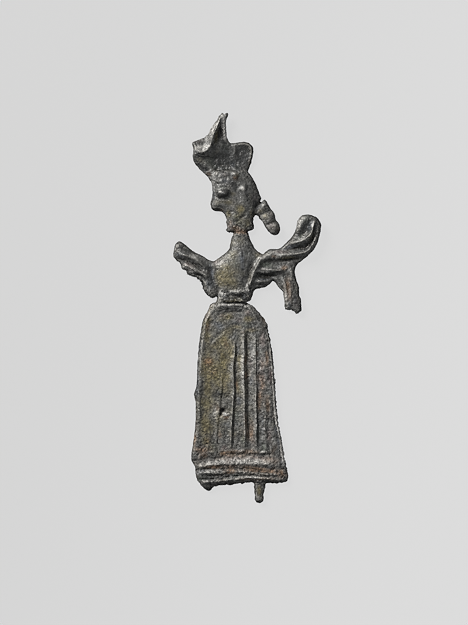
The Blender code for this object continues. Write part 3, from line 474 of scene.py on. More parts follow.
# Where it is rusty brown.
RUST = [
    # The hem and the foot.
    spot(0.30, (-1.6, 9.6), (12.0, 4.4)),
    spot(0.7, (-11.4, 13.4), (2.4, 0.9)),
    spot(0.7, (-10.6, 11.8), (1.6, 0.6)),
    spot(1.2, (-6.0, 12.5), (1.0, 0.6)),
    spot(0.9, (-3.4, 13.0), (2.4, 0.5)),
    spot(0.9, (0.6, 12.9), (2.0, 0.6)),
    spot(0.6, (-3.0, 12.0), (2.6, 0.6)),
    spot(0.5, (6.6, 13.2), (0.8, 1.4)),
    spot(1.2, (-8.0, 9.2), (1.8, 0.6), turn=3.0),
    spot(0.8, (-4.4, 9.2), (1.8, 0.7)),
    spot(1.1, (-0.1, 9.2), (1.6, 0.7)),
    spot(1.2, (2.4, 8.4), (2.2, 0.9)),
    spot(1.1, (-4.2, 7.9), (1.6, 0.5)),
    spot(1.0, (5.6, 8.0), (1.6, 0.7)),
    spot(0.8, (8.6, 7.4), (1.4, 1.2)),
    spot(0.7, (4.8, 10.6), (2.2, 0.8)),
    spot(0.7, (-0.2, 6.2), (2.4, 0.4)),
    spot(0.6, (4.0, 6.2), (2.2, 0.4)),
    # The skirt.
    spot(0.14, (4.0, 28.0), (2.6, 14.0)),
    spot(0.7, (-9.7, 44.2), (0.9, 1.6), turn=-20.0),
    spot(0.5, (-5.4, 40.4), (0.8, 1.6)),
    spot(0.8, (-9.6, 35.4), (1.2, 1.2)),
    spot(0.4, (-8.8, 32.8), (1.6, 1.2)),
    spot(0.5, (-1.2, 42.8), (0.8, 0.6)),
    spot(0.9, (-2.7, 29.6), (0.5, 1.3)),
    spot(0.7, (-0.4, 36.0), (0.5, 2.0)),
    spot(0.9, (-0.3, 32.2), (0.6, 1.2)),
    spot(0.7, (2.4, 37.4), (0.4, 1.0)),
    spot(0.8, (5.0, 36.0), (0.5, 2.0)),
    spot(0.6, (3.5, 34.8), (0.9, 1.6)),
    spot(0.8, (2.8, 31.6), (0.8, 1.4)),
    spot(0.7, (3.8, 29.4), (0.8, 1.4)),
    spot(0.8, (3.2, 27.0), (0.7, 1.2)),
    spot(0.5, (4.4, 46.4), (1.2, 2.6), turn=25.0),
    spot(0.6, (3.0, 24.4), (0.6, 1.6)),
    spot(0.8, (5.2, 24.4), (0.6, 2.4)),
    spot(0.6, (-0.4, 20.8), (0.5, 2.4)),
    spot(0.8, (0.8, 17.8), (1.3, 2.4)),
    spot(0.8, (-5.2, 21.6), (0.8, 0.6)),
    spot(0.6, (-7.2, 23.8), (0.8, 1.0)),
    spot(0.7, (-6.7, 17.2), (0.6, 1.2)),
    spot(0.8, (-13.2, 16.0), (0.6, 1.4)),
    spot(0.5, (-10.0, 15.6), (1.2, 1.2)),
    # The belt, the chest and the wings.
    spot(0.22, (10.6, 54.0), (2.2, 5.0)),
    spot(1.0, (9.4, 58.9), (0.9, 0.7)),
    spot(0.9, (10.0, 54.2), (0.8, 2.8), turn=-5.0),
    spot(0.6, (10.9, 52.4), (0.6, 1.4)),
    spot(0.7, (6.7, 61.7), (0.7, 0.5)),
    # The neck, the hair lock and the head.
    spot(1.3, (-1.5, 67.8), (1.8, 0.7)),
    spot(0.8, (-2.8, 68.8), (1.0, 0.6)),
    spot(0.4, (-4.2, 69.8), (0.9, 1.2)),
    spot(0.8, (-2.8, 81.4), (0.7, 0.7)),
    spot(0.6, (-6.6, 73.3), (1.2, 0.4)),
    spot(0.5, (7.4, 68.4), (0.9, 0.9)),
    # The headdress.
    spot(0.6, (-9.6, 82.6), (1.0, 0.6), turn=-40.0),
    spot(0.6, (0.6, 85.4), (0.6, 1.2)),
]

# Where it is a dull rose.
ROSE = [
    # The hem and the foot.
    spot(0.8, (-1.0, 11.2), (7.0, 0.8)),
    spot(0.7, (3.6, 11.6), (1.2, 0.5)),
    spot(0.7, (-5.4, 10.0), (2.0, 0.5), turn=6.0),
    spot(0.6, (-10.8, 5.4), (1.4, 0.5), turn=8.0),
    spot(0.6, (4.2, 1.6), (0.4, 1.4)),
    # The skirt.
    spot(0.9, (-10.0, 46.8), (1.0, 1.4), turn=45.0),
    spot(0.6, (-6.2, 46.9), (1.0, 0.8)),
    spot(0.8, (0.3, 47.7), (1.2, 0.9)),
    spot(0.4, (-2.2, 46.0), (0.8, 0.8)),
    spot(0.8, (3.9, 41.2), (0.9, 2.4)),
    spot(0.8, (3.6, 34.8), (1.0, 2.4)),
    spot(0.9, (3.5, 30.0), (1.2, 3.0)),
    spot(0.6, (0.9, 35.0), (0.5, 3.4)),
    spot(0.9, (5.9, 31.8), (0.7, 2.2)),
    spot(0.6, (-12.7, 19.8), (0.6, 2.0)),
    spot(0.7, (-5.6, 13.9), (1.0, 0.8)),
    spot(0.7, (5.6, 16.4), (0.8, 2.4)),
    # The belt, the chest and the wings.
    spot(0.6, (-17.0, 64.6), (1.0, 1.0)),
    spot(0.9, (-14.6, 59.2), (2.4, 0.9), turn=-35.0),
    spot(0.6, (-7.4, 60.4), (1.2, 1.0)),
    spot(0.7, (8.4, 62.9), (1.8, 0.6)),
    spot(0.7, (8.0, 58.0), (0.8, 1.0)),
    spot(0.5, (12.4, 50.6), (0.7, 1.6)),
    # The neck, the hair lock and the head.
    spot(0.9, (2.2, 76.0), (1.0, 2.0), turn=10.0),
    spot(0.8, (6.2, 69.4), (1.2, 0.9)),
    spot(0.6, (5.9, 72.5), (0.6, 0.6)),
    spot(0.7, (-4.3, 69.0), (1.0, 1.0)),
    # The headdress.
    spot(0.6, (-5.7, 82.4), (1.2, 1.0)),
    spot(0.8, (-1.1, 87.1), (1.2, 1.4)),
    spot(0.6, (-5.7, 93.8), (2.9, 0.4), turn=92.0),
    spot(0.6, (-12.2, 90.5), (1.2, 0.5)),
]

# Where it is slate blue.
SLATE = [
    # The hem and the foot.
    spot(0.8, (8.8, 10.6), (0.6, 1.4)),
    spot(1.1, (-11.2, 7.8), (2.0, 0.5), turn=8.0),
    spot(0.7, (5.6, 9.1), (0.8, 0.5)),
    # The skirt.
    spot(1.0, (-6.9, 44.0), (1.3, 1.4), turn=20.0),
    spot(0.6, (-8.2, 41.0), (1.0, 0.8), turn=40.0),
    spot(0.8, (-3.0, 42.2), (1.0, 1.1)),
    spot(0.9, (-2.2, 38.4), (0.6, 1.8)),
    spot(0.8, (0.9, 36.0), (0.5, 3.6)),
    spot(0.7, (0.9, 30.6), (0.6, 1.4)),
    spot(0.7, (-3.9, 33.6), (0.5, 2.4)),
    spot(0.8, (-12.0, 38.2), (0.6, 1.6)),
    spot(0.8, (-12.4, 31.0), (0.6, 5.0), turn=1.5),
    spot(0.5, (5.9, 31.8), (0.6, 2.2)),
    spot(1.1, (-5.4, 19.0), (1.0, 1.4)),
    spot(0.8, (-2.0, 25.4), (0.7, 1.4)),
    spot(0.5, (-2.4, 19.4), (0.7, 2.4)),
    spot(0.8, (7.3, 18.6), (0.6, 1.4)),
    spot(0.8, (7.9, 15.4), (0.5, 2.0)),
    spot(0.4, (3.9, 19.6), (0.5, 2.6)),
    # The belt, the chest and the wings.
    spot(0.7, (-6.0, 52.2), (1.6, 0.8)),
    spot(0.8, (-4.2, 52.8), (2.0, 0.6)),
    spot(0.7, (-0.9, 51.9), (1.2, 0.9)),
    spot(1.0, (-16.6, 62.2), (1.8, 0.6), turn=-10.0),
    spot(1.0, (-8.8, 57.6), (0.6, 2.6), turn=10.0),
    spot(0.9, (-9.5, 54.0), (0.9, 1.4)),
    spot(1.0, (-1.3, 61.6), (0.7, 2.2)),
    spot(0.7, (-1.2, 58.6), (0.8, 0.9)),
    spot(0.9, (15.8, 69.2), (1.4, 1.4), turn=50.0),
    spot(0.9, (10.8, 64.2), (2.2, 0.5), turn=10.0),
    spot(0.9, (4.6, 55.7), (2.2, 0.5)),
    spot(0.7, (10.4, 49.9), (0.5, 1.2)),
    spot(0.6, (12.2, 51.0), (0.6, 1.4)),
    # The neck, the hair lock and the head.
    spot(0.7, (4.2, 74.8), (1.0, 0.9)),
    spot(0.6, (-8.4, 77.6), (0.7, 3.6)),
    spot(0.7, (-5.0, 80.6), (1.6, 0.7)),
    spot(0.4, (2.2, 76.6), (0.9, 2.0)),
    # The headdress.
    spot(0.5, (-6.0, 86.6), (2.4, 2.6)),
    spot(1.1, (-3.8, 84.8), (0.9, 0.8)),
    spot(0.9, (-5.7, 93.8), (2.9, 0.4), turn=92.0),
    spot(0.8, (-12.4, 88.2), (1.2, 0.5)),
]

# Where it is grey green.
GREEN = [
    # The hem and the foot.
    spot(0.8, (4.1, 13.8), (0.9, 1.6)),
    spot(0.7, (-11.8, 6.2), (1.4, 0.7)),
    spot(0.6, (-2.6, 6.8), (1.4, 0.4)),
    # The skirt.
    spot(0.7, (-0.1, 44.6), (1.6, 0.7)),
    spot(0.7, (-10.6, 24.6), (1.8, 1.6)),
    spot(0.6, (3.4, 37.2), (0.6, 1.4)),
    spot(0.6, (2.3, 40.0), (0.5, 2.4)),
    spot(0.6, (-5.9, 27.6), (1.8, 0.9)),
    spot(0.5, (-6.0, 34.0), (1.0, 4.0)),
    spot(0.6, (-2.6, 22.0), (1.0, 3.4)),
    spot(0.8, (-0.9, 16.2), (0.8, 1.6)),
    spot(0.8, (2.7, 16.4), (0.5, 2.2)),
    spot(0.8, (-8.5, 14.2), (0.8, 1.6)),
    # The belt, the chest and the wings.
    spot(0.8, (4.6, 59.8), (2.6, 0.9)),
    spot(0.8, (4.2, 57.4), (2.6, 0.8)),
    spot(0.7, (13.2, 66.8), (1.6, 0.8), turn=50.0),
    spot(0.7, (14.8, 71.0), (1.2, 0.8)),
    spot(0.8, (12.1, 54.2), (0.5, 2.0)),
    spot(0.6, (-14.4, 63.8), (1.2, 0.7), turn=-30.0),
    spot(0.35, (-3.4, 60.0), (2.6, 3.4)),
    spot(0.6, (-1.0, 51.4), (1.2, 0.8)),
    # The neck, the hair lock and the head.
    spot(0.5, (-5.8, 78.9), (1.6, 0.5)),
    spot(0.8, (-2.2, 71.2), (1.2, 1.4)),
    # The headdress.
    spot(0.9, (-8.2, 85.2), (2.2, 1.8)),
    spot(0.7, (-5.8, 84.6), (1.6, 1.2)),
    spot(0.8, (-5.6, 89.0), (0.9, 1.8)),
    spot(0.6, (-2.3, 84.2), (0.9, 0.8)),
]

# The tints over the grey skin, in the order they are laid: what keeps them on the mesh, where they lie, their
# colour, their own place in the noise, and how much of the skin they hide at most.
TINTS = [
    ("green", GREEN, colour(0.088, 0.102, 0.084), 13.0, 0.75),
    ("slate", SLATE, colour(0.088, 0.098, 0.114), 17.0, 0.80),
    ("rose", ROSE, colour(0.128, 0.103, 0.098), 19.0, 0.80),
    ("olive", OLIVE, colour(0.130, 0.108, 0.048), 11.0, 0.80),
    ("rust", RUST, colour(0.158, 0.094, 0.052), 23.0, 0.75),
]

# Where black soil lies, in creases and pits, and where shade is painted: in creases, under the nose, on the
# eye's boss and at the lock's root.
SOIL_AND_SHADE = [
    # The hem and the foot.
    spot(1.1, (4.0, 12.25), (1.2, 0.28)),
    spot(0.8, (-3.0, 4.9), (7.0, 0.4), turn=1.0),
    spot(1.0, (5.0, 5.3), (4.6, 0.35)),
    spot(1.1, (-9.6, 3.7), (1.4, 0.6)),
    spot(0.8, (8.7, 9.9), (0.5, 0.9)),
    spot(0.8, (3.2, 0.6), (0.9, 0.5)),
    spot(0.8, (8.5, 9.7), (0.6, 0.6)),
    # The skirt.
    spot(1.0, (-7.1, 27.4), (1.4, 0.45)),
    spot(0.8, (-8.0, 26.9), (0.4, 0.4)),
    spot(0.7, (-5.2, 27.6), (0.7, 0.25)),
    spot(1.6, (-6.25, 23.4), (0.60, 0.50)),
    spot(1.4, (-6.60, 22.4), (0.30, 0.55)),
    spot(0.6, (-7.6, 25.0), (0.3, 0.3)),
    spot(0.7, (-10.6, 39.0), (0.3, 1.2)),
    # Black soil and painted shade in the crease under the skirt's top band.
    spot(1.2, (-5.2, 48.2), (0.8, 0.36), turn=20.0),
    spot(1.4, (-4.0, 48.40), (1.2, 0.40), turn=8.0),
    spot(1.3, (-2.0, 48.40), (1.4, 0.38)),
    spot(1.0, (-6.6, 48.1), (1.0, 0.34), turn=15.0),
    spot(0.5, (3.4, 46.0), (2.6, 0.6), turn=-58.0),
    spot(1.0, (6.9, 20.6), (0.25, 1.4)),
    spot(0.9, (5.1, 43.8), (0.7, 0.3), turn=-30.0),
    # The belt, the chest and the wings.
    # Painted shade in the gap under the belt.
    spot(1.3, (-3.0, 50.2), (3.3, 0.25)),
    spot(0.9, (-2.2, 52.1), (1.1, 0.35), turn=-10.0),
    spot(1.1, (-0.9, 51.2), (0.8, 0.45), turn=-20.0),
    spot(1.2, (4.8, 57.5), (2.4, 0.50)),
    spot(0.8, (8.0, 57.7), (0.9, 0.60)),
    spot(0.8, (3.6, 54.7), (1.6, 0.40)),
    spot(0.9, (14.4, 70.0), (1.6, 0.5), turn=65.0),
    spot(0.7, (12.6, 66.4), (0.9, 0.4), turn=40.0),
    spot(0.6, (17.6, 69.6), (0.4, 1.6)),
    spot(0.8, (9.4, 61.0), (3.4, 0.35), turn=2.0),
    spot(0.7, (-16.6, 64.3), (1.4, 0.45), turn=-30.0),
    spot(0.6, (-15.0, 63.0), (0.7, 0.4), turn=-30.0),
    spot(0.7, (-13.0, 60.0), (1.6, 0.35), turn=-15.0),
    spot(0.9, (-12.0, 57.3), (1.2, 0.40), turn=-20.0),
    spot(1.0, (-1.15, 62.1), (0.35, 1.0)),
    spot(0.9, (-15.9, 60.4), (1.1, 0.4), turn=-20.0),
    spot(0.9, (12.8, 67.0), (1.3, 0.45), turn=48.0),
    spot(1.0, (15.4, 70.6), (0.4, 1.4), turn=-15.0),
    spot(1.0, (-4.3, 51.15), (1.3, 0.4)),
    spot(0.9, (6.3, 56.8), (1.3, 0.4)),
    spot(0.8, (-11.0, 55.4), (0.5, 1.3), turn=20.0),
    spot(0.8, (-2.8, 51.1), (2.4, 0.35), turn=-5.0),
    spot(1.0, (-1.0, 58.4), (0.45, 0.35)),
    spot(0.7, (-0.9, 56.2), (0.4, 1.2), turn=-10.0),
    spot(0.8, (-16.9, 64.5), (0.9, 0.5), turn=-20.0),
    spot(0.8, (-9.4, 58.8), (0.5, 0.6)),
    spot(0.8, (-1.0, 55.4), (0.35, 0.9)),
    spot(0.8, (15.6, 71.1), (0.4, 0.7)),
    # The neck, the hair lock and the head.
    # Painted shade at the lock's root.
    spot(0.9, (2.4, 73.6), (0.6, 1.0), turn=-20.0),
    spot(0.8, (0.4, 75.8), (0.5, 1.2)),
    # The eye's boss is painted dark all over, with the shade of its lower half painted in.
    spot(1.9, (-5.95, 77.40), (1.5, 0.88), turn=14.0),
    spot(1.0, (-3.4, 79.6), (1.2, 0.65), turn=-35.0),
    spot(1.1, (0.15, 76.9), (0.35, 0.40)),
    spot(1.0, (0.15, 75.6), (0.30, 0.30)),
    spot(0.9, (1.0, 76.4), (0.6, 1.1), turn=15.0),
    spot(1.2, (2.0, 74.6), (0.7, 1.1)),
    spot(1.0, (1.6, 72.8), (0.5, 1.0)),
    # Painted shade under the nose and along the mouth.
    spot(1.3, (-7.4, 73.55), (1.5, 0.35)),
    spot(0.7, (-8.7, 74.3), (0.4, 0.5)),
    spot(0.8, (7.4, 67.9), (0.9, 0.9)),
    # The headdress.
    spot(0.9, (-6.8, 93.0), (3.0, 0.5), turn=78.0),
    spot(0.7, (-11.9, 86.8), (1.6, 0.4), turn=5.0),
    spot(0.8, (-6.6, 86.4), (2.6, 2.6)),
    spot(0.9, (-2.2, 84.2), (0.7, 0.7)),
    spot(0.7, (-11.6, 84.3), (1.8, 0.4), turn=-45.0),
]

# Where the lead is chalky and pale, and where highlights are painted: on the eye, at the temple and on the
# headdress's faces that turn to the light.
CHALK_AND_HIGHLIGHTS = [
    # The hem and the foot.
    spot(0.50, (-1.5, 9.3), (4.8, 0.45)),
    spot(0.50, (9.6, 7.6), (0.5, 1.8)),
    spot(1.00, (9.0, 12.0), (0.5, 4.5), turn=11.0),
    spot(0.50, (-1.3, 13.2), (0.9, 0.5)),
    spot(0.60, (1.8, 13.2), (0.6, 0.8)),
    spot(0.95, (0.2, 10.4), (6.8, 1.05), turn=-2.0),
    spot(0.85, (-7.8, 10.2), (4.2, 0.60), turn=8.0),
    spot(0.90, (1.6, 6.6), (4.0, 0.38)),
    spot(1.0, (-9.8, 8.0), (2.8, 0.35), turn=8.0),
    spot(0.8, (-10.0, 5.6), (1.8, 0.25), turn=8.0),
    spot(0.8, (-11.6, 9.7), (0.8, 0.3), turn=12.0),
    spot(0.8, (1.8, 7.0), (2.6, 0.25)),
    spot(1.1, (4.0, 12.95), (0.9, 0.25)),
    spot(0.5, (2.4, 2.2), (0.25, 1.4)),
    # The skirt.
    spot(0.62, (2.9, 34.6), (1.0, 6.4)),
    spot(0.90, (-1.0, 30.6), (0.5, 1.8)),
    spot(1.15, (-3.4, 49.4), (4.6, 0.55)),
    spot(0.55, (-11.9, 36.2), (0.45, 2.4), turn=2.0),
    spot(0.70, (-7.7, 22.4), (0.8, 2.0)),
    spot(0.32, (4.4, 34.0), (1.6, 8.5)),
    spot(0.55, (1.4, 37.0), (0.7, 6.0)),
    spot(0.35, (2.5, 34.0), (0.5, 5.0)),
    spot(0.95, (6.55, 32.5), (0.35, 5.0), turn=4.0),
    spot(0.75, (-1.1, 35.0), (0.60, 9.0)),
    spot(0.70, (1.7, 38.5), (0.50, 4.2)),
    spot(0.50, (1.1, 32.6), (0.45, 2.4)),
    spot(0.50, (2.0, 21.0), (0.55, 6.0)),
    spot(0.40, (4.2, 36.0), (0.9, 5.0)),
    spot(0.45, (4.3, 17.0), (0.6, 3.2)),
    spot(0.40, (-3.8, 33.0), (0.5, 5.0)),
    spot(0.40, (-7.7, 23.0), (0.9, 2.4)),
    spot(0.55, (-9.2, 47.4), (2.2, 0.90), turn=50.0),
    spot(1.3, (-5.35, 22.3), (0.75, 0.40), turn=-10.0),
    # The belt, the chest and the wings.
    spot(0.90, (13.2, 65.9), (1.6, 0.35), turn=33.0),
    spot(0.80, (0.0, 52.9), (0.8, 0.9)),
    spot(0.80, (13.0, 70.3), (0.6, 1.7), turn=-20.0),
    spot(0.60, (9.6, 62.2), (2.8, 0.5), turn=2.0),
    spot(0.70, (3.2, 61.2), (1.3, 0.9), turn=50.0),
    spot(0.95, (4.0, 58.3), (2.0, 0.6)),
    spot(0.90, (-15.0, 58.9), (1.1, 0.6), turn=-28.0),
    spot(0.50, (-7.2, 59.2), (0.8, 1.0)),
    spot(1.00, (0.1, 50.1), (0.6, 0.5)),
    spot(1.00, (-4.8, 52.6), (2.6, 0.7)),
    spot(0.90, (0.1, 54.0), (0.4, 1.2)),
    spot(0.80, (2.3, 59.7), (0.7, 0.9), turn=60.0),
    spot(0.90, (-13.2, 61.7), (1.5, 0.6), turn=-12.0),
    spot(0.70, (-13.9, 58.2), (1.3, 0.8), turn=-20.0),
    spot(0.60, (-11.4, 57.9), (0.9, 0.5), turn=-20.0),
    spot(0.80, (-9.3, 53.4), (0.5, 1.1)),
    spot(0.50, (3.6, 62.0), (1.6, 0.6), turn=5.0),
    spot(0.40, (4.8, 58.7), (2.4, 0.4)),
    spot(0.85, (9.5, 52.0), (0.55, 2.8)),
    spot(0.75, (-3.4, 53.0), (3.4, 0.55)),
    spot(0.70, (-6.2, 52.2), (0.9, 1.4)),
    spot(0.5, (-6.6, 60.2), (1.4, 1.6)),
    spot(0.5, (1.9, 57.8), (3.6, 0.55), turn=64.0),
    spot(0.6, (16.2, 69.6), (0.30, 1.2), turn=-25.0),
    spot(0.7, (10.0, 50.2), (0.2, 1.2)),
    # The neck, the hair lock and the head.
    spot(0.60, (-8.4, 80.0), (0.5, 1.8)),
    spot(0.85, (-0.7, 78.2), (0.6, 0.9)),
    spot(0.55, (-4.9, 71.0), (0.45, 1.5)),
    spot(0.60, (4.0, 71.2), (1.2, 0.5), turn=-57.0),
    # A painted highlight on the eye.
    spot(1.7, (-6.8, 77.9), (0.34, 0.17), turn=12.0),
    spot(0.55, (-7.2, 80.9), (1.4, 0.7)),
    spot(0.9, (-4.75, 80.9), (0.4, 0.4)),
    # A painted highlight at the temple.
    spot(1.3, (-1.15, 78.7), (0.45, 0.3)),
    # The headdress.
    spot(0.60, (-9.9, 87.7), (1.6, 0.9), turn=10.0),
    spot(0.50, (-0.8, 83.0), (1.4, 0.6)),
    # Painted light on the faces of the lobe and the spike that turn to the light.
    spot(0.90, (-11.2, 88.2), (2.2, 0.7), turn=6.0),
    spot(1.0, (-11.4, 88.9), (2.4, 0.60), turn=8.0),
    spot(0.85, (-8.4, 93.9), (3.0, 0.7), turn=59.0),
    spot(0.50, (-9.6, 90.5), (1.3, 0.8), turn=40.0),
    spot(0.4, (-10.4, 89.5), (2.6, 0.5), turn=8.0),
    spot(1.9, (-5.55, 94.4), (3.0, 0.72), turn=97.0),
    spot(0.7, (-8.2, 82.3), (1.0, 0.5)),
    spot(0.5, (-1.6, 82.8), (1.8, 0.4)),
    spot(0.8, (-7.6, 82.4), (0.5, 0.3), turn=40.0),
    spot(0.9, (-3.1, 82.4), (0.4, 0.3)),
]

# Where the lead is dark as gunmetal, and where shade is painted: under the chin, at the lock's root and on
# the headdress.
DARK = [
    # The hem and the foot.
    spot(0.80, (-6.0, 11.7), (1.0, 0.5), turn=10.0),
    spot(0.85, (3.0, 12.0), (1.1, 0.45)),
    spot(0.80, (3.8, 7.6), (2.6, 0.4), turn=-5.0),
    spot(0.85, (-12.9, 10.9), (1.2, 0.9)),
    spot(0.80, (-12.9, 8.4), (1.0, 0.35), turn=10.0),
    spot(0.70, (8.4, 9.6), (0.8, 0.9)),
    spot(0.70, (-9.0, 11.7), (3.4, 0.5), turn=8.0),
    spot(0.95, (-10.2, 6.3), (3.2, 0.5), turn=4.0),
    spot(0.18, (-8.0, 8.4), (5.4, 3.6), turn=5.0),
    spot(0.35, (3.0, 2.4), (1.6, 2.8)),
    # The skirt.
    spot(0.55, (-10.6, 26.6), (1.4, 1.2)),
    spot(0.55, (1.0, 28.2), (0.4, 1.4)),
    spot(0.70, (-11.7, 23.0), (0.8, 9.0)),
    spot(0.60, (-5.6, 18.4), (0.9, 1.8)),
    spot(0.55, (-8.6, 15.6), (1.2, 2.6)),
    spot(0.45, (-9.4, 28.0), (1.6, 1.2)),
    spot(0.70, (3.1, 16.0), (0.5, 2.0)),
    spot(0.80, (0.5, 14.2), (0.5, 1.2)),
    spot(0.60, (-11.6, 28.5), (1.5, 4.5)),
    spot(0.25, (-7.6, 43.8), (3.0, 2.6)),
    spot(0.55, (-6.6, 27.2), (3.2, 1.3)),
    spot(0.40, (-11.8, 18.0), (1.2, 6.0)),
    spot(0.32, (-6.2, 16.0), (2.4, 2.6)),
    spot(0.50, (0.4, 14.0), (0.5, 3.0)),
    spot(0.45, (5.9, 22.8), (0.8, 0.9)),
    spot(0.50, (0.2, 28.0), (0.4, 2.0)),
    spot(0.22, (-9.4, 34.0), (3.4, 14.0)),
    spot(0.30, (-10.4, 19.0), (3.0, 8.0)),
    # The belt, the chest and the wings.
    spot(0.95, (12.9, 67.2), (1.3, 0.45), turn=55.0),
    spot(0.90, (16.1, 71.0), (0.7, 1.2)),
    spot(0.90, (15.2, 64.5), (1.8, 1.0), turn=30.0),
    spot(0.90, (7.0, 57.0), (1.6, 0.8)),
    spot(0.80, (-12.8, 56.8), (1.2, 0.5), turn=-30.0),
    spot(0.90, (-10.9, 55.4), (0.7, 1.6), turn=20.0),
    spot(0.70, (-8.6, 55.2), (0.5, 1.6)),
    spot(0.75, (-4.6, 51.2), (1.4, 0.55)),
    spot(0.90, (-0.6, 51.2), (0.8, 0.60)),
    spot(1.00, (-17.1, 64.2), (0.9, 0.9)),
    spot(0.90, (-9.5, 58.9), (0.8, 0.9)),
    spot(0.70, (-10.4, 55.4), (0.7, 1.2)),
    spot(0.90, (13.9, 63.7), (2.0, 0.9), turn=8.0),
    spot(0.90, (15.5, 71.0), (0.6, 0.8)),
    spot(0.70, (7.0, 60.2), (2.2, 0.6)),
    spot(0.88, (11.8, 53.2), (1.3, 4.8)),
    spot(0.70, (-16.8, 64.2), (1.6, 0.9), turn=-20.0),
    spot(0.65, (9.6, 57.3), (2.4, 1.1)),
    spot(0.95, (6.2, 56.2), (2.6, 0.8)),
    spot(0.80, (16.9, 66.6), (1.1, 2.6), turn=-25.0),
    spot(0.45, (-2.6, 54.4), (2.0, 0.6)),
    spot(0.42, (-1.6, 65.0), (3.0, 3.4)),
    spot(0.30, (0.4, 64.0), (1.8, 3.0), turn=20.0),
    spot(0.62, (15.4, 68.2), (3.2, 4.4)),
    spot(0.50, (4.6, 57.4), (3.6, 1.4)),
    spot(0.35, (11.0, 52.4), (2.6, 5.0)),
    spot(0.40, (-15.6, 62.8), (3.2, 2.0), turn=-30.0),
    spot(0.40, (-9.8, 55.6), (0.9, 4.0), turn=5.0),
    # The neck, the hair lock and the head.
    # Painted shade under the chin and the nose, and at the lock's root.
    spot(0.65, (-3.8, 73.4), (0.7, 1.2)),
    spot(0.55, (-6.2, 74.2), (1.6, 0.5)),
    spot(1.10, (2.3, 73.8), (0.9, 1.3), turn=-25.0),
    spot(0.85, (0.7, 76.0), (0.6, 1.8), turn=10.0),
    spot(0.80, (-2.4, 70.9), (2.4, 0.7), turn=35.0),
    spot(1.00, (-3.3, 79.3), (0.9, 1.7)),
    spot(0.42, (-3.0, 77.6), (6.2, 5.2)),
    spot(0.72, (1.6, 77.0), (2.2, 4.6), turn=20.0),
    spot(0.45, (0.6, 74.0), (2.2, 2.4)),
    spot(0.35, (-1.8, 70.4), (3.2, 2.4)),
    spot(0.60, (1.4, 70.8), (1.0, 2.6)),
    spot(0.30, (5.6, 71.6), (2.4, 4.6), turn=35.0),
    # The headdress.
    # Painted shade on the headdress's front panel and in its hollow.
    spot(1.10, (-5.6, 83.1), (2.0, 0.8)),
    spot(0.90, (-10.2, 83.5), (1.4, 0.6), turn=-45.0),
    spot(1.05, (-5.6, 90.4), (1.1, 1.0)),
    spot(0.90, (-13.3, 89.9), (0.8, 0.6)),
    spot(0.80, (-6.4, 97.1), (0.6, 0.4)),
    spot(1.25, (-6.2, 85.2), (3.0, 1.9)),
    spot(1.05, (-6.0, 86.2), (4.4, 3.2)),
    spot(0.50, (-11.6, 85.8), (2.0, 0.8)),
    spot(0.90, (-4.3, 89.6), (0.8, 0.8)),
    spot(0.70, (-2.6, 84.8), (1.6, 1.3)),
    spot(0.80, (-12.8, 90.5), (1.8, 0.55), turn=5.0),
    spot(0.55, (-6.6, 93.0), (4.6, 1.2), turn=80.0),
    spot(0.95, (-5.6, 89.0), (1.2, 2.0)),
    spot(1.25, (-1.0, 87.0), (2.6, 3.8)),
    spot(0.95, (-11.8, 84.8), (2.4, 1.0), turn=-45.0),
]

# Where the lead is smooth and bare, instead of granular with crust.
SMOOTH = [
    spot(0.4, (-7.0, 38.0), (5.5, 11.0)),
    spot(0.8, (-6.0, 88.0), (9.0, 8.0)),
    spot(0.8, (-6.5, 94.0), (2.6, 5.0)),
    spot(0.8, (-3.0, 77.0), (7.6, 6.0)),
    spot(0.5, (5.8, 71.4), (4.0, 5.6), turn=-25.0),
    spot(0.9, (14.6, 67.2), (5.0, 6.6)),
    spot(0.7, (6.4, 59.6), (6.4, 5.0)),
    spot(0.8, (-13.4, 59.6), (6.0, 6.0)),
    spot(0.8, (-4.0, 60.4), (6.0, 7.4)),
]

# Where the casting is crusted with lumps.
CRUST = [
    spot(0.9, (-1.6, 7.5), (13.4, 2.8)),
    spot(0.8, (-11.0, 14.0), (2.6, 3.6)),
    spot(1.0, (8.4, 8.0), (3.0, 3.0)),
    spot(1.0, (-3.0, 52.0), (4.8, 2.2)),
    spot(1.0, (-1.6, 68.4), (4.0, 1.8)),
    spot(0.8, (-4.2, 69.4), (1.8, 2.6)),
    spot(0.8, (-14.0, 57.6), (3.6, 1.6), turn=-30.0),
    spot(0.6, (11.6, 48.6), (2.2, 1.2)),
    spot(1.0, (-2.6, 12.7), (5.6, 0.9)),
    spot(0.5, (-9.8, 33.4), (1.8, 3.4)),
    spot(0.5, (4.8, 27.0), (2.2, 14.0)),
]

# Where the thin edge is ragged.
RAGGED = [
    spot(1.0, (-3.4, 69.0), (3.4, 2.2)),
    spot(1.0, (1.6, 70.4), (1.2, 2.6)),
    spot(1.0, (-13.4, 56.6), (4.6, 1.8), turn=-35.0),
    spot(0.6, (-17.4, 61.4), (1.4, 3.0)),
    spot(0.8, (11.6, 48.4), (3.0, 1.6)),
    spot(0.8, (7.6, 24.0), (1.6, 20.0), turn=6.0),
    spot(0.7, (-1.6, 4.6), (12.0, 1.6)),
    spot(0.8, (-3.4, 51.6), (5.4, 2.0)),
    spot(0.8, (-5.4, 97.2), (1.4, 0.8)),
    spot(0.5, (-13.2, 27.0), (0.9, 1.6)),
    spot(0.7, (5.2, 44.0), (0.9, 0.9)),
    spot(0.5, (3.0, 71.6), (2.0, 2.0)),
]


def on_figure(points):
    """Places of the drawing as places on the figure, in metres."""
    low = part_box("figurine")[0]
    return np.array(points, float) * MM - (DRAWING_ZERO, -low.y)


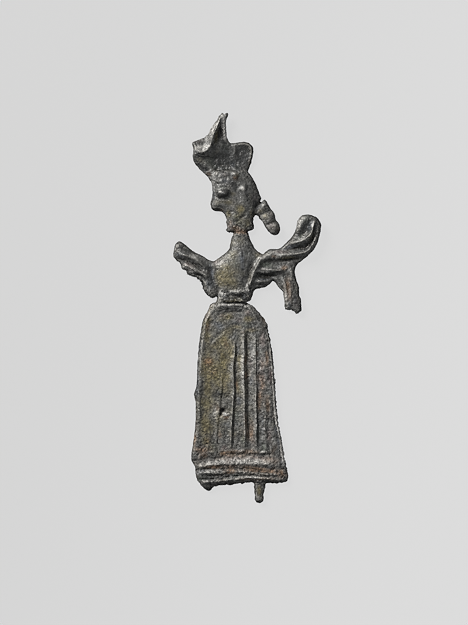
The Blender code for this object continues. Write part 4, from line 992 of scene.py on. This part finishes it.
def smooth_line(points, spacing):
    """A smooth curve through the points, sampled about evenly."""
    corners = on_figure(points)
    padded = np.vstack([2 * corners[0] - corners[1], corners, 2 * corners[-1] - corners[-2]])
    samples = []
    for a, b, c, d in zip(padded, padded[1:], padded[2:], padded[3:]):
        steps = max(1, round(np.linalg.norm(c - b) / spacing))
        for t in np.arange(steps) / steps:
            bend = (c - a) * t + (2 * a - 5 * b + 4 * c - d) * t**2 + (3 * b - 3 * c + d - a) * t**3
            samples.append(b + bend / 2)
    samples.append(corners[-1])
    return np.array(samples)


def on_curve(places, curve):
    """How far each place is from a curve, and on which side: 1 on its left and -1 on its right."""
    nearest = np.full(len(places), np.inf)
    side = np.ones(len(places))
    for start, end in zip(curve, curve[1:]):
        run = end - start
        along = np.clip((places - start) @ run / (run @ run), 0, 1)
        away = places - start - along[:, None] * run
        distance = np.hypot(*away.T)
        closer = distance < nearest
        nearest[closer] = distance[closer]
        side[closer] = np.sign(run[0] * away[:, 1] - run[1] * away[:, 0])[closer]
    return nearest, side


def add_line(heights, tints, places, line):
    """Adds one crest or cut to the heights of the places near it, and its tint to them."""
    height, left, right, taper, tint, points = line
    curve = smooth_line(points, 0.4 * MM)
    reach = 3 * max(left, right) * MM
    near = np.flatnonzero(((places > curve.min(0) - reach) & (places < curve.max(0) + reach)).all(1))
    away, side = on_curve(places[near], curve)
    width = np.where(side > 0, left, right) * MM
    from_end = np.min([np.hypot(*(places[near] - end).T) for end in (curve[0], curve[-1])], axis=0)
    strength = np.clip(from_end / (taper * MM), 0, 1) ** 0.7
    share = strength * np.exp(-((away / width) ** 2))
    heights[near] += height * MM * share
    tints[near] = np.maximum(tints[near], tint * share)


def in_ellipse(places, middle, halves, turn=0.0):
    """How far out each place is from the middle of an ellipse: 0 there, and 1 on the ellipse."""
    angle = math.radians(turn)
    offset = places - on_figure(middle)
    along = offset @ [math.cos(angle), math.sin(angle)]
    across = offset @ [-math.sin(angle), math.cos(angle)]
    return np.hypot(along / (halves[0] * MM), across / (halves[1] * MM))


def patches(places, spots):
    """How much of one tint or roughness each place has, fading out from the middle of each spot."""
    amount = np.zeros(len(places))
    for middle, halves, turn, strength in spots:
        spread = in_ellipse(places, middle, halves, turn)
        amount = np.maximum(amount, strength * np.clip(1.25 - 0.75 * spread, 0, 1))
    return amount


def washes(places, spots):
    """How much of one tint each place has, from 0 to 1, where soft spots lie over each other."""
    bare = np.ones(len(places))
    for middle, halves, turn, strength in spots:
        bare *= 1 - min(strength, 1) * np.exp(-(in_ellipse(places, middle, halves, turn) ** 2))
    return 1 - bare


def rough(points, width, octaves=1, shift=0.0):
    """Smooth noise at each point, from about -1 to 1, in bumps of a width. A shift makes it differ."""
    scaled = points @ ASKEW / (width * MM) + shift
    if octaves == 1:
        return np.array([noise.noise(place) for place in scaled])
    return np.array([noise.fractal(place, 0.8, 2.1, octaves) for place in scaled])


def sway(points, width, reach, shifts, octaves=1):
    """How far each point is moved across and up by smooth noise, in metres."""
    return np.column_stack([rough(points, width, octaves, shift) for shift in shifts]) * reach * MM


def lumps(points, width, shift=0.0):
    """Rounded lumps packed side by side: 1 on top of each and 0 in the creases between them."""
    scaled = points @ ASKEW / (width * MM) + shift
    gaps = np.empty(len(points))
    for i, place in enumerate(scaled):
        near = noise.voronoi(place)[0]
        gaps[i] = near[1] - near[0]
    return np.clip(gaps * 1.6, 0, 1) ** 0.5


def ramp(values, low, high):
    """Rises smoothly from 0 where a value is low to 1 where it is high."""
    share = np.clip((values - low) / (high - low), 0, 1)
    return share**2 * (3 - 2 * share)


class Raster:
    """Values at places of the front, gathered on an even grid to smooth them and read them back."""

    def __init__(self, places, values, step):
        low = places.min(0) - 2 * MM
        self.step = step * MM
        self.shape = tuple(np.ceil((places.max(0) + 2 * MM - low) / self.step).astype(int) + 1)
        self.cells = np.floor((places - low) / self.step).astype(int)
        self.weights = np.zeros(self.shape)
        self.sums = np.zeros(self.shape)
        np.add.at(self.weights, tuple(self.cells.T), 1)
        np.add.at(self.sums, tuple(self.cells.T), values)

    def smoothed(self, radius):
        """The mean of the values around each place, within about the radius."""
        spread = radius * MM / self.step
        half = int(math.ceil(2.5 * spread))
        taps = np.exp(-0.5 * (np.arange(-half, half + 1) / spread) ** 2)
        layers = []
        for layer in (self.sums, self.weights):
            for axis in (0, 1):
                layer = np.apply_along_axis(np.convolve, axis, layer, taps, "same")
            layers.append(layer)
        means = layers[0] / np.maximum(layers[1], 1e-9)
        return means[tuple(self.cells.T)]


def settle(thing):
    """Replaces an object's mesh with what its modifiers make of it."""
    evaluated = thing.evaluated_get(bpy.context.evaluated_depsgraph_get())
    done = bpy.data.meshes.new_from_object(evaluated)
    thing.modifiers.clear()
    thing.data = done


def dense_casting(node):
    """The casting's solid as an even, smooth mesh, fine enough to carry the fine relief."""
    mesh = node.data.copy()
    shape = bmesh.new()
    shape.from_mesh(mesh)
    bmesh.ops.remove_doubles(shape, verts=shape.verts, dist=1e-6)
    shape.to_mesh(mesh)
    shape.free()
    thing = bpy.data.objects.new("lead_casting", mesh)
    bpy.context.scene.collection.objects.link(thing)
    remesh = thing.modifiers.new("even faces", "REMESH")
    remesh.mode = "VOXEL"
    remesh.voxel_size = FACE_SIZE
    smooth = thing.modifiers.new("soft facets", "SMOOTH")
    smooth.factor = SMOOTH_FACTOR
    smooth.iterations = SMOOTH_ROUNDS
    settle(thing)
    return thing


def read(mesh):
    """A mesh's points and their normals."""
    points = np.empty(3 * len(mesh.vertices))
    normals = np.empty(3 * len(mesh.vertices))
    mesh.vertices.foreach_get("co", points)
    mesh.vertices.foreach_get("normal", normals)
    return points.reshape(-1, 3), normals.reshape(-1, 3)


def line_relief(points, drawn):
    """The heights of the drawn lines and spots, how pale their wear and painted highlights make each place,
    and how dark their dirt and painted shade make it.
    """
    heights, pale, dark = np.zeros((3, len(points)))
    # Crests give pale wear and painted highlights, and cuts give dirt and painted shade.
    for lines in FINE_LINES:
        for line in lines:
            add_line(heights, pale if line[0] > 0 else dark, drawn, line)
    heights *= 1 + LINE_WEAR * rough(points, 1.1, octaves=2, shift=11.0)
    for middle, halves, turn, height in FINE_SPOTS:
        heights += height * MM * np.exp(-(in_ellipse(drawn, middle, halves, turn) ** 2))
    return heights, pale, dark


def skin_relief(points, crusted, smooth):
    """The heights of the crust's lumps, of the casting's swellings and grain, and of small pits."""
    heights = 0.10 * MM * rough(points, 2.6, octaves=2)
    for width, height, shift in CRUST_LUMPS:
        heights += height * MM * crusted * (lumps(points, width, shift) - 0.6)
    grain = GRAIN_HEIGHT + (SMOOTH_GRAIN_HEIGHT - GRAIN_HEIGHT) * smooth
    heights += grain * MM * rough(points, GRAIN_WIDTH, octaves=3, shift=21.0)
    pits = ramp(rough(points, PIT_WIDTH, shift=53.0), 0.42, 0.62)
    return heights - PIT_DEPTH * MM * pits * (1 - 0.5 * smooth)


def edge_wander(points, normals, side):
    """How far the edge moves in or out, more where it is ragged."""
    ragged = patches(points[:, :2], RAGGED)
    push = rough(points, 0.9, octaves=3, shift=71.0) * (EDGE_WANDER + RAGGED_WANDER * ragged) * MM
    outward = normals[:, :2] / np.maximum(np.hypot(*normals[:, :2].T), 1e-6)[:, None]
    return outward * (push * side)[:, None]


def nudges(points):
    """How far the forms of the front move aside: as listed where they have to, and a little everywhere."""
    moves = sway(points, 3.6, 0.22, (83.0, 97.0))
    for middle, halves, way in NUDGES:
        share = np.exp(-(in_ellipse(points[:, :2], middle, halves) ** 2))
        moves += share[:, None] * way * MM
    return moves


def keep(mesh, name, values):
    """Keeps a number for each point of a mesh, for its finish to read."""
    layer = mesh.attributes.new(name, "FLOAT", "POINT")
    layer.data.foreach_set("value", values.astype(np.float32))


def add_relief(thing):
    """Raises the fine relief on the front, roughens the thin edges and keeps what the finish reads."""
    mesh = thing.data
    points, normals = read(mesh)
    front = ramp(normals[:, 2], 0.05, 0.45)
    side = ramp(-np.abs(normals[:, 2]), -0.85, -0.35)
    near_edge = np.clip(2.2 * Raster(points[:, :2], side, 0.3).smoothed(0.7), 0, 1)
    edge_drop = EDGE_DROP * MM * near_edge**1.5

    # Lines drawn by hand wander a little.
    wander = sway(points, 2.2, 0.16, (0.0, 37.0)) + sway(points, 0.7, 0.06, (0.0, 37.0))
    drawn = points[:, :2] + wander
    crusted = patches(drawn, CRUST)
    smooth = patches(drawn, SMOOTH)
    heights, pale, dark = line_relief(points, drawn)
    heights += skin_relief(points, crusted, smooth) - edge_drop

    moved = points.copy()
    moved[:, :2] += edge_wander(points, normals, side)
    moved[:, :2] += nudges(points) * (front * (1 - near_edge))[:, None]
    moved[:, 2] += front * heights
    moved[:, 2] = np.clip(moved[:, 2], points[:, 2].min(), points[:, 2].max() + TOP_ROOM * MM)
    mesh.vertices.foreach_set("co", moved.ravel())
    mesh.update()

    places = moved[:, :2] + wander
    keep(mesh, "crusted", crusted)
    keep(mesh, "smooth", smooth)
    for name, spots, *_ in TINTS:
        keep(mesh, name, washes(places, spots))
    # The gunmetal dark and the black soil also carry painted shade, and the chalk carries painted highlights.
    keep(mesh, "gunmetal", patches(places, DARK))
    keep(mesh, "soil_and_shade", np.maximum(patches(places, SOIL_AND_SHADE), dark))
    keep(mesh, "chalk_and_highlight", np.maximum(patches(places, CHALK_AND_HIGHLIGHTS), pale))

    # How far each place of the front lies below what is around it. The drop of the edge is no hollow.
    facing = front > 0.5
    levels = (moved[:, 2] + front * edge_drop)[facing]
    raster = Raster(moved[facing, :2], levels, 0.12)
    for name, (around, depth) in HOLLOWS.items():
        hollow = np.zeros(len(points))
        hollow[facing] = (raster.smoothed(around) - levels) / (depth * MM)
        keep(mesh, name, hollow)


def thin_back(thing):
    """Leaves few faces on the flat back, which has no fine relief."""
    group = thing.vertex_groups.new(name="back")
    _, normals = read(thing.data)
    for index in np.flatnonzero(normals[:, 2] < -0.9):
        group.add([int(index)], 1.0, "REPLACE")
    thinning = thing.modifiers.new("fewer faces behind", "DECIMATE")
    thinning.vertex_group = "back"
    thinning.vertex_group_factor = BACK_WEIGHT
    thinning.ratio = BACK_SHARE
    settle(thing)
    thing.vertex_groups.clear()


class Finish:
    """A material being built: adds nodes and joins them."""

    def __init__(self, name):
        self.material = bpy.data.materials.new(name)
        self.material.use_nodes = True
        self.tree = self.material.node_tree
        self.shader = self.tree.nodes["Principled BSDF"]
        self.place = self.tree.nodes.new("ShaderNodeTexCoord").outputs["Object"]

    def set(self, socket, value):
        """Joins a socket to another, or sets its value."""
        if isinstance(value, bpy.types.NodeSocket):
            self.tree.links.new(value, socket)
        else:
            socket.default_value = value

    def attribute(self, name):
        """A number kept on the mesh."""
        node = self.tree.nodes.new("ShaderNodeAttribute")
        node.attribute_name = name
        return node.outputs["Fac"]

    def noise(self, size, detail=3.0, roughness=0.6, shift=0.0, tall=1.0):
        """Noise from 0 to 1 with blotches of the given size, drawn out where tall is over 1."""
        node = self.tree.nodes.new("ShaderNodeTexNoise")
        self.set(node.inputs["Vector"], self.shifted(shift, tall))
        self.set(node.inputs["Scale"], 1 / size)
        self.set(node.inputs["Detail"], detail)
        self.set(node.inputs["Roughness"], roughness)
        return node.outputs["Fac"]

    def cells(self, size, shift=0.0):
        """Many cells of the given size: how far the nearest one's middle is, and chances of its own."""
        node = self.tree.nodes.new("ShaderNodeTexVoronoi")
        self.set(node.inputs["Vector"], self.shifted(shift))
        self.set(node.inputs["Scale"], 1 / size)
        return node.outputs["Distance"], node.outputs["Color"]

    def shifted(self, shift, tall=1.0):
        """Object coordinates turned askew, moved along so that noises differ, and drawn out where tall."""
        node = self.tree.nodes.new("ShaderNodeMapping")
        self.set(node.inputs["Vector"], self.place)
        node.inputs["Location"].default_value = (shift, 0.7 * shift, 0.3 * shift)
        node.inputs["Rotation"].default_value = NOISE_TURN
        node.inputs["Scale"].default_value = (1.0, 1 / tall, 1.0)
        return node.outputs["Vector"]

    def math(self, kind, a, b=0.0, clamp=False):
        """A sum, product or power of two numbers, or the like."""
        node = self.tree.nodes.new("ShaderNodeMath")
        node.operation = kind
        node.use_clamp = clamp
        self.set(node.inputs[0], a)
        self.set(node.inputs[1], b)
        return node.outputs[0]

    def ramp(self, value, low, high, start=0.0, end=1.0):
        """Goes smoothly from start where the value is low to end where it is high."""
        node = self.tree.nodes.new("ShaderNodeMapRange")
        node.interpolation_type = "SMOOTHSTEP"
        self.set(node.inputs["Value"], value)
        for name, number in (("From Min", low), ("From Max", high), ("To Min", start), ("To Max", end)):
            self.set(node.inputs[name], number)
        return node.outputs["Result"]

    def around(self, value, strength):
        """Noise turned into a number on both sides of nothing, of the given strength."""
        return self.math("MULTIPLY", self.math("SUBTRACT", value, 0.5), strength)

    def mix(self, amount, first, second):
        """The first colour, with the given amount of the second."""
        node = self.tree.nodes.new("ShaderNodeMix")
        node.data_type = "RGBA"
        self.set(node.inputs[0], amount)
        self.set(node.inputs[6], first)
        self.set(node.inputs[7], second)
        return node.outputs[2]

    def times(self, value, amount):
        """A colour made lighter or darker, or a vector made longer or shorter."""
        node = self.tree.nodes.new("ShaderNodeVectorMath")
        node.operation = "SCALE"
        self.set(node.inputs[0], value)
        self.set(node.inputs["Scale"], amount)
        return node.outputs["Vector"]

    def vector(self, kind, a, b=None):
        """A sum or difference of two vectors, or one vector worked on alone."""
        node = self.tree.nodes.new("ShaderNodeVectorMath")
        node.operation = kind
        self.set(node.inputs[0], a)
        if b is not None:
            self.set(node.inputs[1], b)
        return node.outputs["Vector"]

    def bump(self, height, distance, strength, below):
        """The direction of a surface that rises and falls with the height, over a surface below."""
        node = self.tree.nodes.new("ShaderNodeBump")
        self.set(node.inputs["Height"], height)
        self.set(node.inputs["Distance"], distance)
        self.set(node.inputs["Strength"], strength)
        self.set(node.inputs["Normal"], below)
        return node.outputs["Normal"]

    def facets(self, chance, tilt):
        """The surface's direction, tipped a little another way on each grain."""
        facing = self.tree.nodes.new("ShaderNodeNewGeometry").outputs["Normal"]
        tipped = self.times(self.vector("SUBTRACT", chance, (0.5, 0.5, 0.5)), tilt)
        return self.vector("NORMALIZE", self.vector("ADD", facing, tipped))


def tinted_lead(lead, blotch):
    """The lead's colour: a grey skin with patches of each tint, and dark as gunmetal in places, where shade
    is also painted.
    """
    cloud = lead.noise(0.0075, roughness=0.55, shift=7.0)
    skin = lead.mix(lead.ramp(cloud, 0.35, 0.68), DULL_LEAD, CLEAN_LEAD)
    for name, _, tint, shift, most in TINTS:
        broken = lead.noise(0.0024, detail=2.0, roughness=0.5, shift=shift)
        amount = lead.math("ADD", lead.attribute(name), lead.around(broken, 1.0))
        skin = lead.mix(lead.ramp(amount, 0.02, 1.10, end=most), skin, tint)
    gunmetal = lead.math("ADD", lead.attribute("gunmetal"), lead.around(blotch, 0.8))
    return lead.mix(lead.ramp(gunmetal, 0.0, 1.15, end=0.94), skin, GUNMETAL)


def worn_dirty_and_painted_light(lead, skin, grain, blotch):
    """The lead with its pale worn crests, dark earth in its hollows, black soil with painted shade, and
    chalky places with painted highlights.
    """
    hollow = lead.attribute("hollow")
    worn = lead.ramp(lead.math("ADD", hollow, lead.around(grain, 1.6)), -0.25, -1.3)
    skin = lead.mix(lead.math("MULTIPLY", worn, 0.45), skin, WORN_LEAD)
    deep = lead.math("MULTIPLY", lead.attribute("deep"), 0.6)
    dirt = lead.ramp(lead.math("ADD", hollow, deep), 0.3, 2.3)
    dirt = lead.math("MULTIPLY", dirt, lead.ramp(blotch, 0.35, 0.62, 0.35, 0.85))
    skin = lead.mix(dirt, skin, EARTH)
    # Black soil with painted shade, then chalky pale with painted highlights.
    soil_and_shade = lead.math("ADD", lead.attribute("soil_and_shade"), lead.around(grain, 1.8))
    skin = lead.mix(lead.ramp(soil_and_shade, 0.30, 1.05, end=0.92), skin, BLACK_SOIL_AND_SHADE)
    chalk_and_highlight = lead.math("ADD", lead.attribute("chalk_and_highlight"), lead.around(grain, 0.8))
    return lead.mix(lead.ramp(chalk_and_highlight, 0.15, 1.20, end=0.85), skin, CHALKY_AND_HIGHLIT_LEAD)


def speckled(lead, skin, noises, chance):
    """The lead with darker and lighter grains of every size, each a power of two, more on the crust."""
    apart = lead.tree.nodes.new("ShaderNodeSeparateColor")
    lead.set(apart.inputs[0], chance)
    specks = lead.around(apart.outputs[0], 1.9)
    for grains, strength in noises:
        specks = lead.math("ADD", specks, lead.around(grains, strength))
    calmer = lead.ramp(lead.attribute("smooth"), 0.0, 1.0, 1.0, 0.72)
    specks = lead.math("MULTIPLY", specks, calmer)
    livelier = lead.math("ADD", lead.math("MULTIPLY", lead.attribute("crusted"), 0.50), 1.0)
    specks = lead.math("MULTIPLY", specks, livelier)
    specks = lead.math("MINIMUM", specks, 0.80)
    return lead.times(skin, lead.math("POWER", 2.0, specks))


def pitted(lead, skin):
    """The lead with dark pits, here and there."""
    near, _ = lead.cells(0.0012, shift=29.0)
    pits = lead.ramp(near, 0.14, 0.26, 1.0, 0.0)
    pits = lead.math("MULTIPLY", pits, lead.ramp(lead.noise(0.0034, shift=31.0), 0.48, 0.62))
    return lead.mix(lead.math("MULTIPLY", pits, 0.85), skin, PIT_SOIL)


def lead_finish():
    """Old lead: a grey-brown skin with olive, rust and slate patches, dark hollows, pale worn crests, and
    painted shade and highlights.
    """
    lead = Finish("old_lead")
    fine = lead.noise(0.00050, detail=2.0)
    grain = lead.noise(0.0011, shift=3.0)
    blotch = lead.noise(0.0022, shift=5.0, tall=1.9)
    _, chance = lead.cells(0.00042, shift=41.0)

    skin = tinted_lead(lead, blotch)
    skin = worn_dirty_and_painted_light(lead, skin, grain, blotch)
    skin = speckled(lead, skin, [(fine, 2.5), (grain, 2.2), (blotch, 2.4)], chance)
    lead.set(lead.shader.inputs["Base Color"], pitted(lead, skin))

    smooth = lead.attribute("smooth")
    crusted = lead.attribute("crusted")
    roughness = lead.math("ADD", lead.ramp(smooth, 0.0, 1.0, 0.58, 0.44), lead.around(grain, 0.35))
    roughness = lead.math("ADD", roughness, lead.math("MULTIPLY", crusted, 0.12), clamp=True)
    lead.set(lead.shader.inputs["Roughness"], roughness)
    lead.shader.inputs["Metallic"].default_value = 0.25
    relief = lead.ramp(smooth, 0.0, 1.0, 1.0, 0.5)
    coarse = lead.bump(grain, 0.30 * MM, relief, below=lead.facets(chance, 0.20))
    lead.set(lead.shader.inputs["Normal"], lead.bump(fine, 0.16 * MM, relief, below=coarse))
    return lead.material


def pale_finish():
    """The floor's plain grey, brighter to the right. It partly glows, so that it holds no hard shadow."""
    paint = Finish("pale_floor")
    apart = paint.tree.nodes.new("ShaderNodeSeparateXYZ")
    paint.set(apart.inputs[0], paint.place)
    slope = paint.math("SUBTRACT", apart.outputs["X"], paint.math("MULTIPLY", apart.outputs["Y"], 0.3))
    grey = paint.times((1.0, 1.0, 1.0), paint.ramp(slope, -FLOOR_FADE, FLOOR_FADE, FLOOR_DARK, FLOOR_LIGHT))
    paint.set(paint.shader.inputs["Base Color"], paint.times(grey, FLOOR_MATT))
    paint.set(paint.shader.inputs["Emission Color"], grey)
    paint.shader.inputs["Emission Strength"].default_value = FLOOR_GLOW
    paint.shader.inputs["Roughness"].default_value = 0.9
    paint.shader.inputs["Specular IOR Level"].default_value = 0.1
    return paint.material


def build_floor(level):
    """A plain pale floor under the figure."""
    half = FLOOR_SIZE / 2
    corners = [(-half, -half, level), (half, -half, level), (half, half, level), (-half, half, level)]
    mesh = bpy.data.meshes.new("floor")
    mesh.from_pydata(corners, [], [(0, 1, 2, 3)])
    mesh.materials.append(pale_finish())
    floor = bpy.data.objects.new("floor", mesh)
    bpy.context.scene.collection.objects.link(floor)
    # Its glow doesn't light the casting, so that the undersides stay dark.
    floor.visible_diffuse = False
    floor.visible_glossy = False


def add_light(name, azimuth, height, distance, size, power, tint):
    """A soft square light that looks at the figure, from a compass angle and a height in degrees."""
    turn, tilt = math.radians(azimuth), math.radians(height)
    lamp = bpy.data.lights.new(name, "AREA")
    lamp.shape = "SQUARE"
    lamp.size = size
    lamp.energy = power
    lamp.color = tint
    thing = bpy.data.objects.new(name, lamp)
    away = Vector((math.cos(turn) * math.cos(tilt), math.sin(turn) * math.cos(tilt), math.sin(tilt)))
    thing.location = away * distance
    thing.rotation_euler = away.to_track_quat("Z", "Y").to_euler()
    bpy.context.scene.collection.objects.link(thing)


def build_studio():
    """A large soft light from the upper left, a weak one from the lower right, and even light all round."""
    add_light("key", **KEY)
    add_light("fill", **FILL)
    world = bpy.data.worlds.new("studio")
    world.use_nodes = True
    sky = world.node_tree.nodes["Background"]
    sky.inputs["Color"].default_value = SKY
    sky.inputs["Strength"].default_value = SKY_STRENGTH
    bpy.context.scene.world = world
    bpy.context.scene.view_settings.view_transform = "Standard"
    bpy.context.scene.view_settings.look = "None"


def sharpen_picture():
    """Sharpens the picture a little, on brightness as it is seen."""
    scene = bpy.context.scene
    scene.use_nodes = True
    tree = scene.node_tree
    tree.nodes.clear()
    picture = tree.nodes.new("CompositorNodeRLayers").outputs["Image"]
    steps = (("Gamma", "Gamma", 1 / GAMMA), ("Filter", "Fac", SHARPNESS), ("Gamma", "Gamma", GAMMA))
    for kind, socket, value in steps:
        node = tree.nodes.new("CompositorNode" + kind)
        node.inputs[socket].default_value = value
        if kind == "Filter":
            node.filter_type = "SHARPEN_DIAMOND"
        tree.links.new(picture, node.inputs["Image"])
        picture = node.outputs["Image"]
    tree.links.new(picture, tree.nodes.new("CompositorNodeComposite").inputs["Image"])


def build_camera(level):
    """A camera straight above, framed as the photograph is."""
    width, height = PHOTO_SIZE
    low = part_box("figurine")[0]
    across = (width / 2 - PHOTO_ZERO[0]) / PHOTO_SCALE * MM - DRAWING_ZERO
    up = (PHOTO_ZERO[1] - height / 2) / PHOTO_SCALE * MM + low.y
    lens = bpy.data.cameras.new("camera")
    lens.lens = LENS
    lens.sensor_width = SENSOR
    lens.clip_start = 0.01
    distance = height / PHOTO_SCALE * MM * LENS / SENSOR
    camera = bpy.data.objects.new("camera", lens)
    camera.location = (across, up, level + distance)
    bpy.context.scene.collection.objects.link(camera)
    bpy.context.scene.camera = camera


def main():
    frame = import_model()
    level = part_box("figurine")[0].z

    casting = dense_casting(frame["nodes"]["figurine"])
    add_relief(casting)
    thin_back(casting)
    casting.data.shade_smooth()
    casting.data.materials.clear()
    casting.data.materials.append(lead_finish())
    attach(casting, "root")
    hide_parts("figurine")

    build_floor(level)
    build_studio()
    build_camera(level + FOCUS_HEIGHT)
    sharpen_picture()


main()
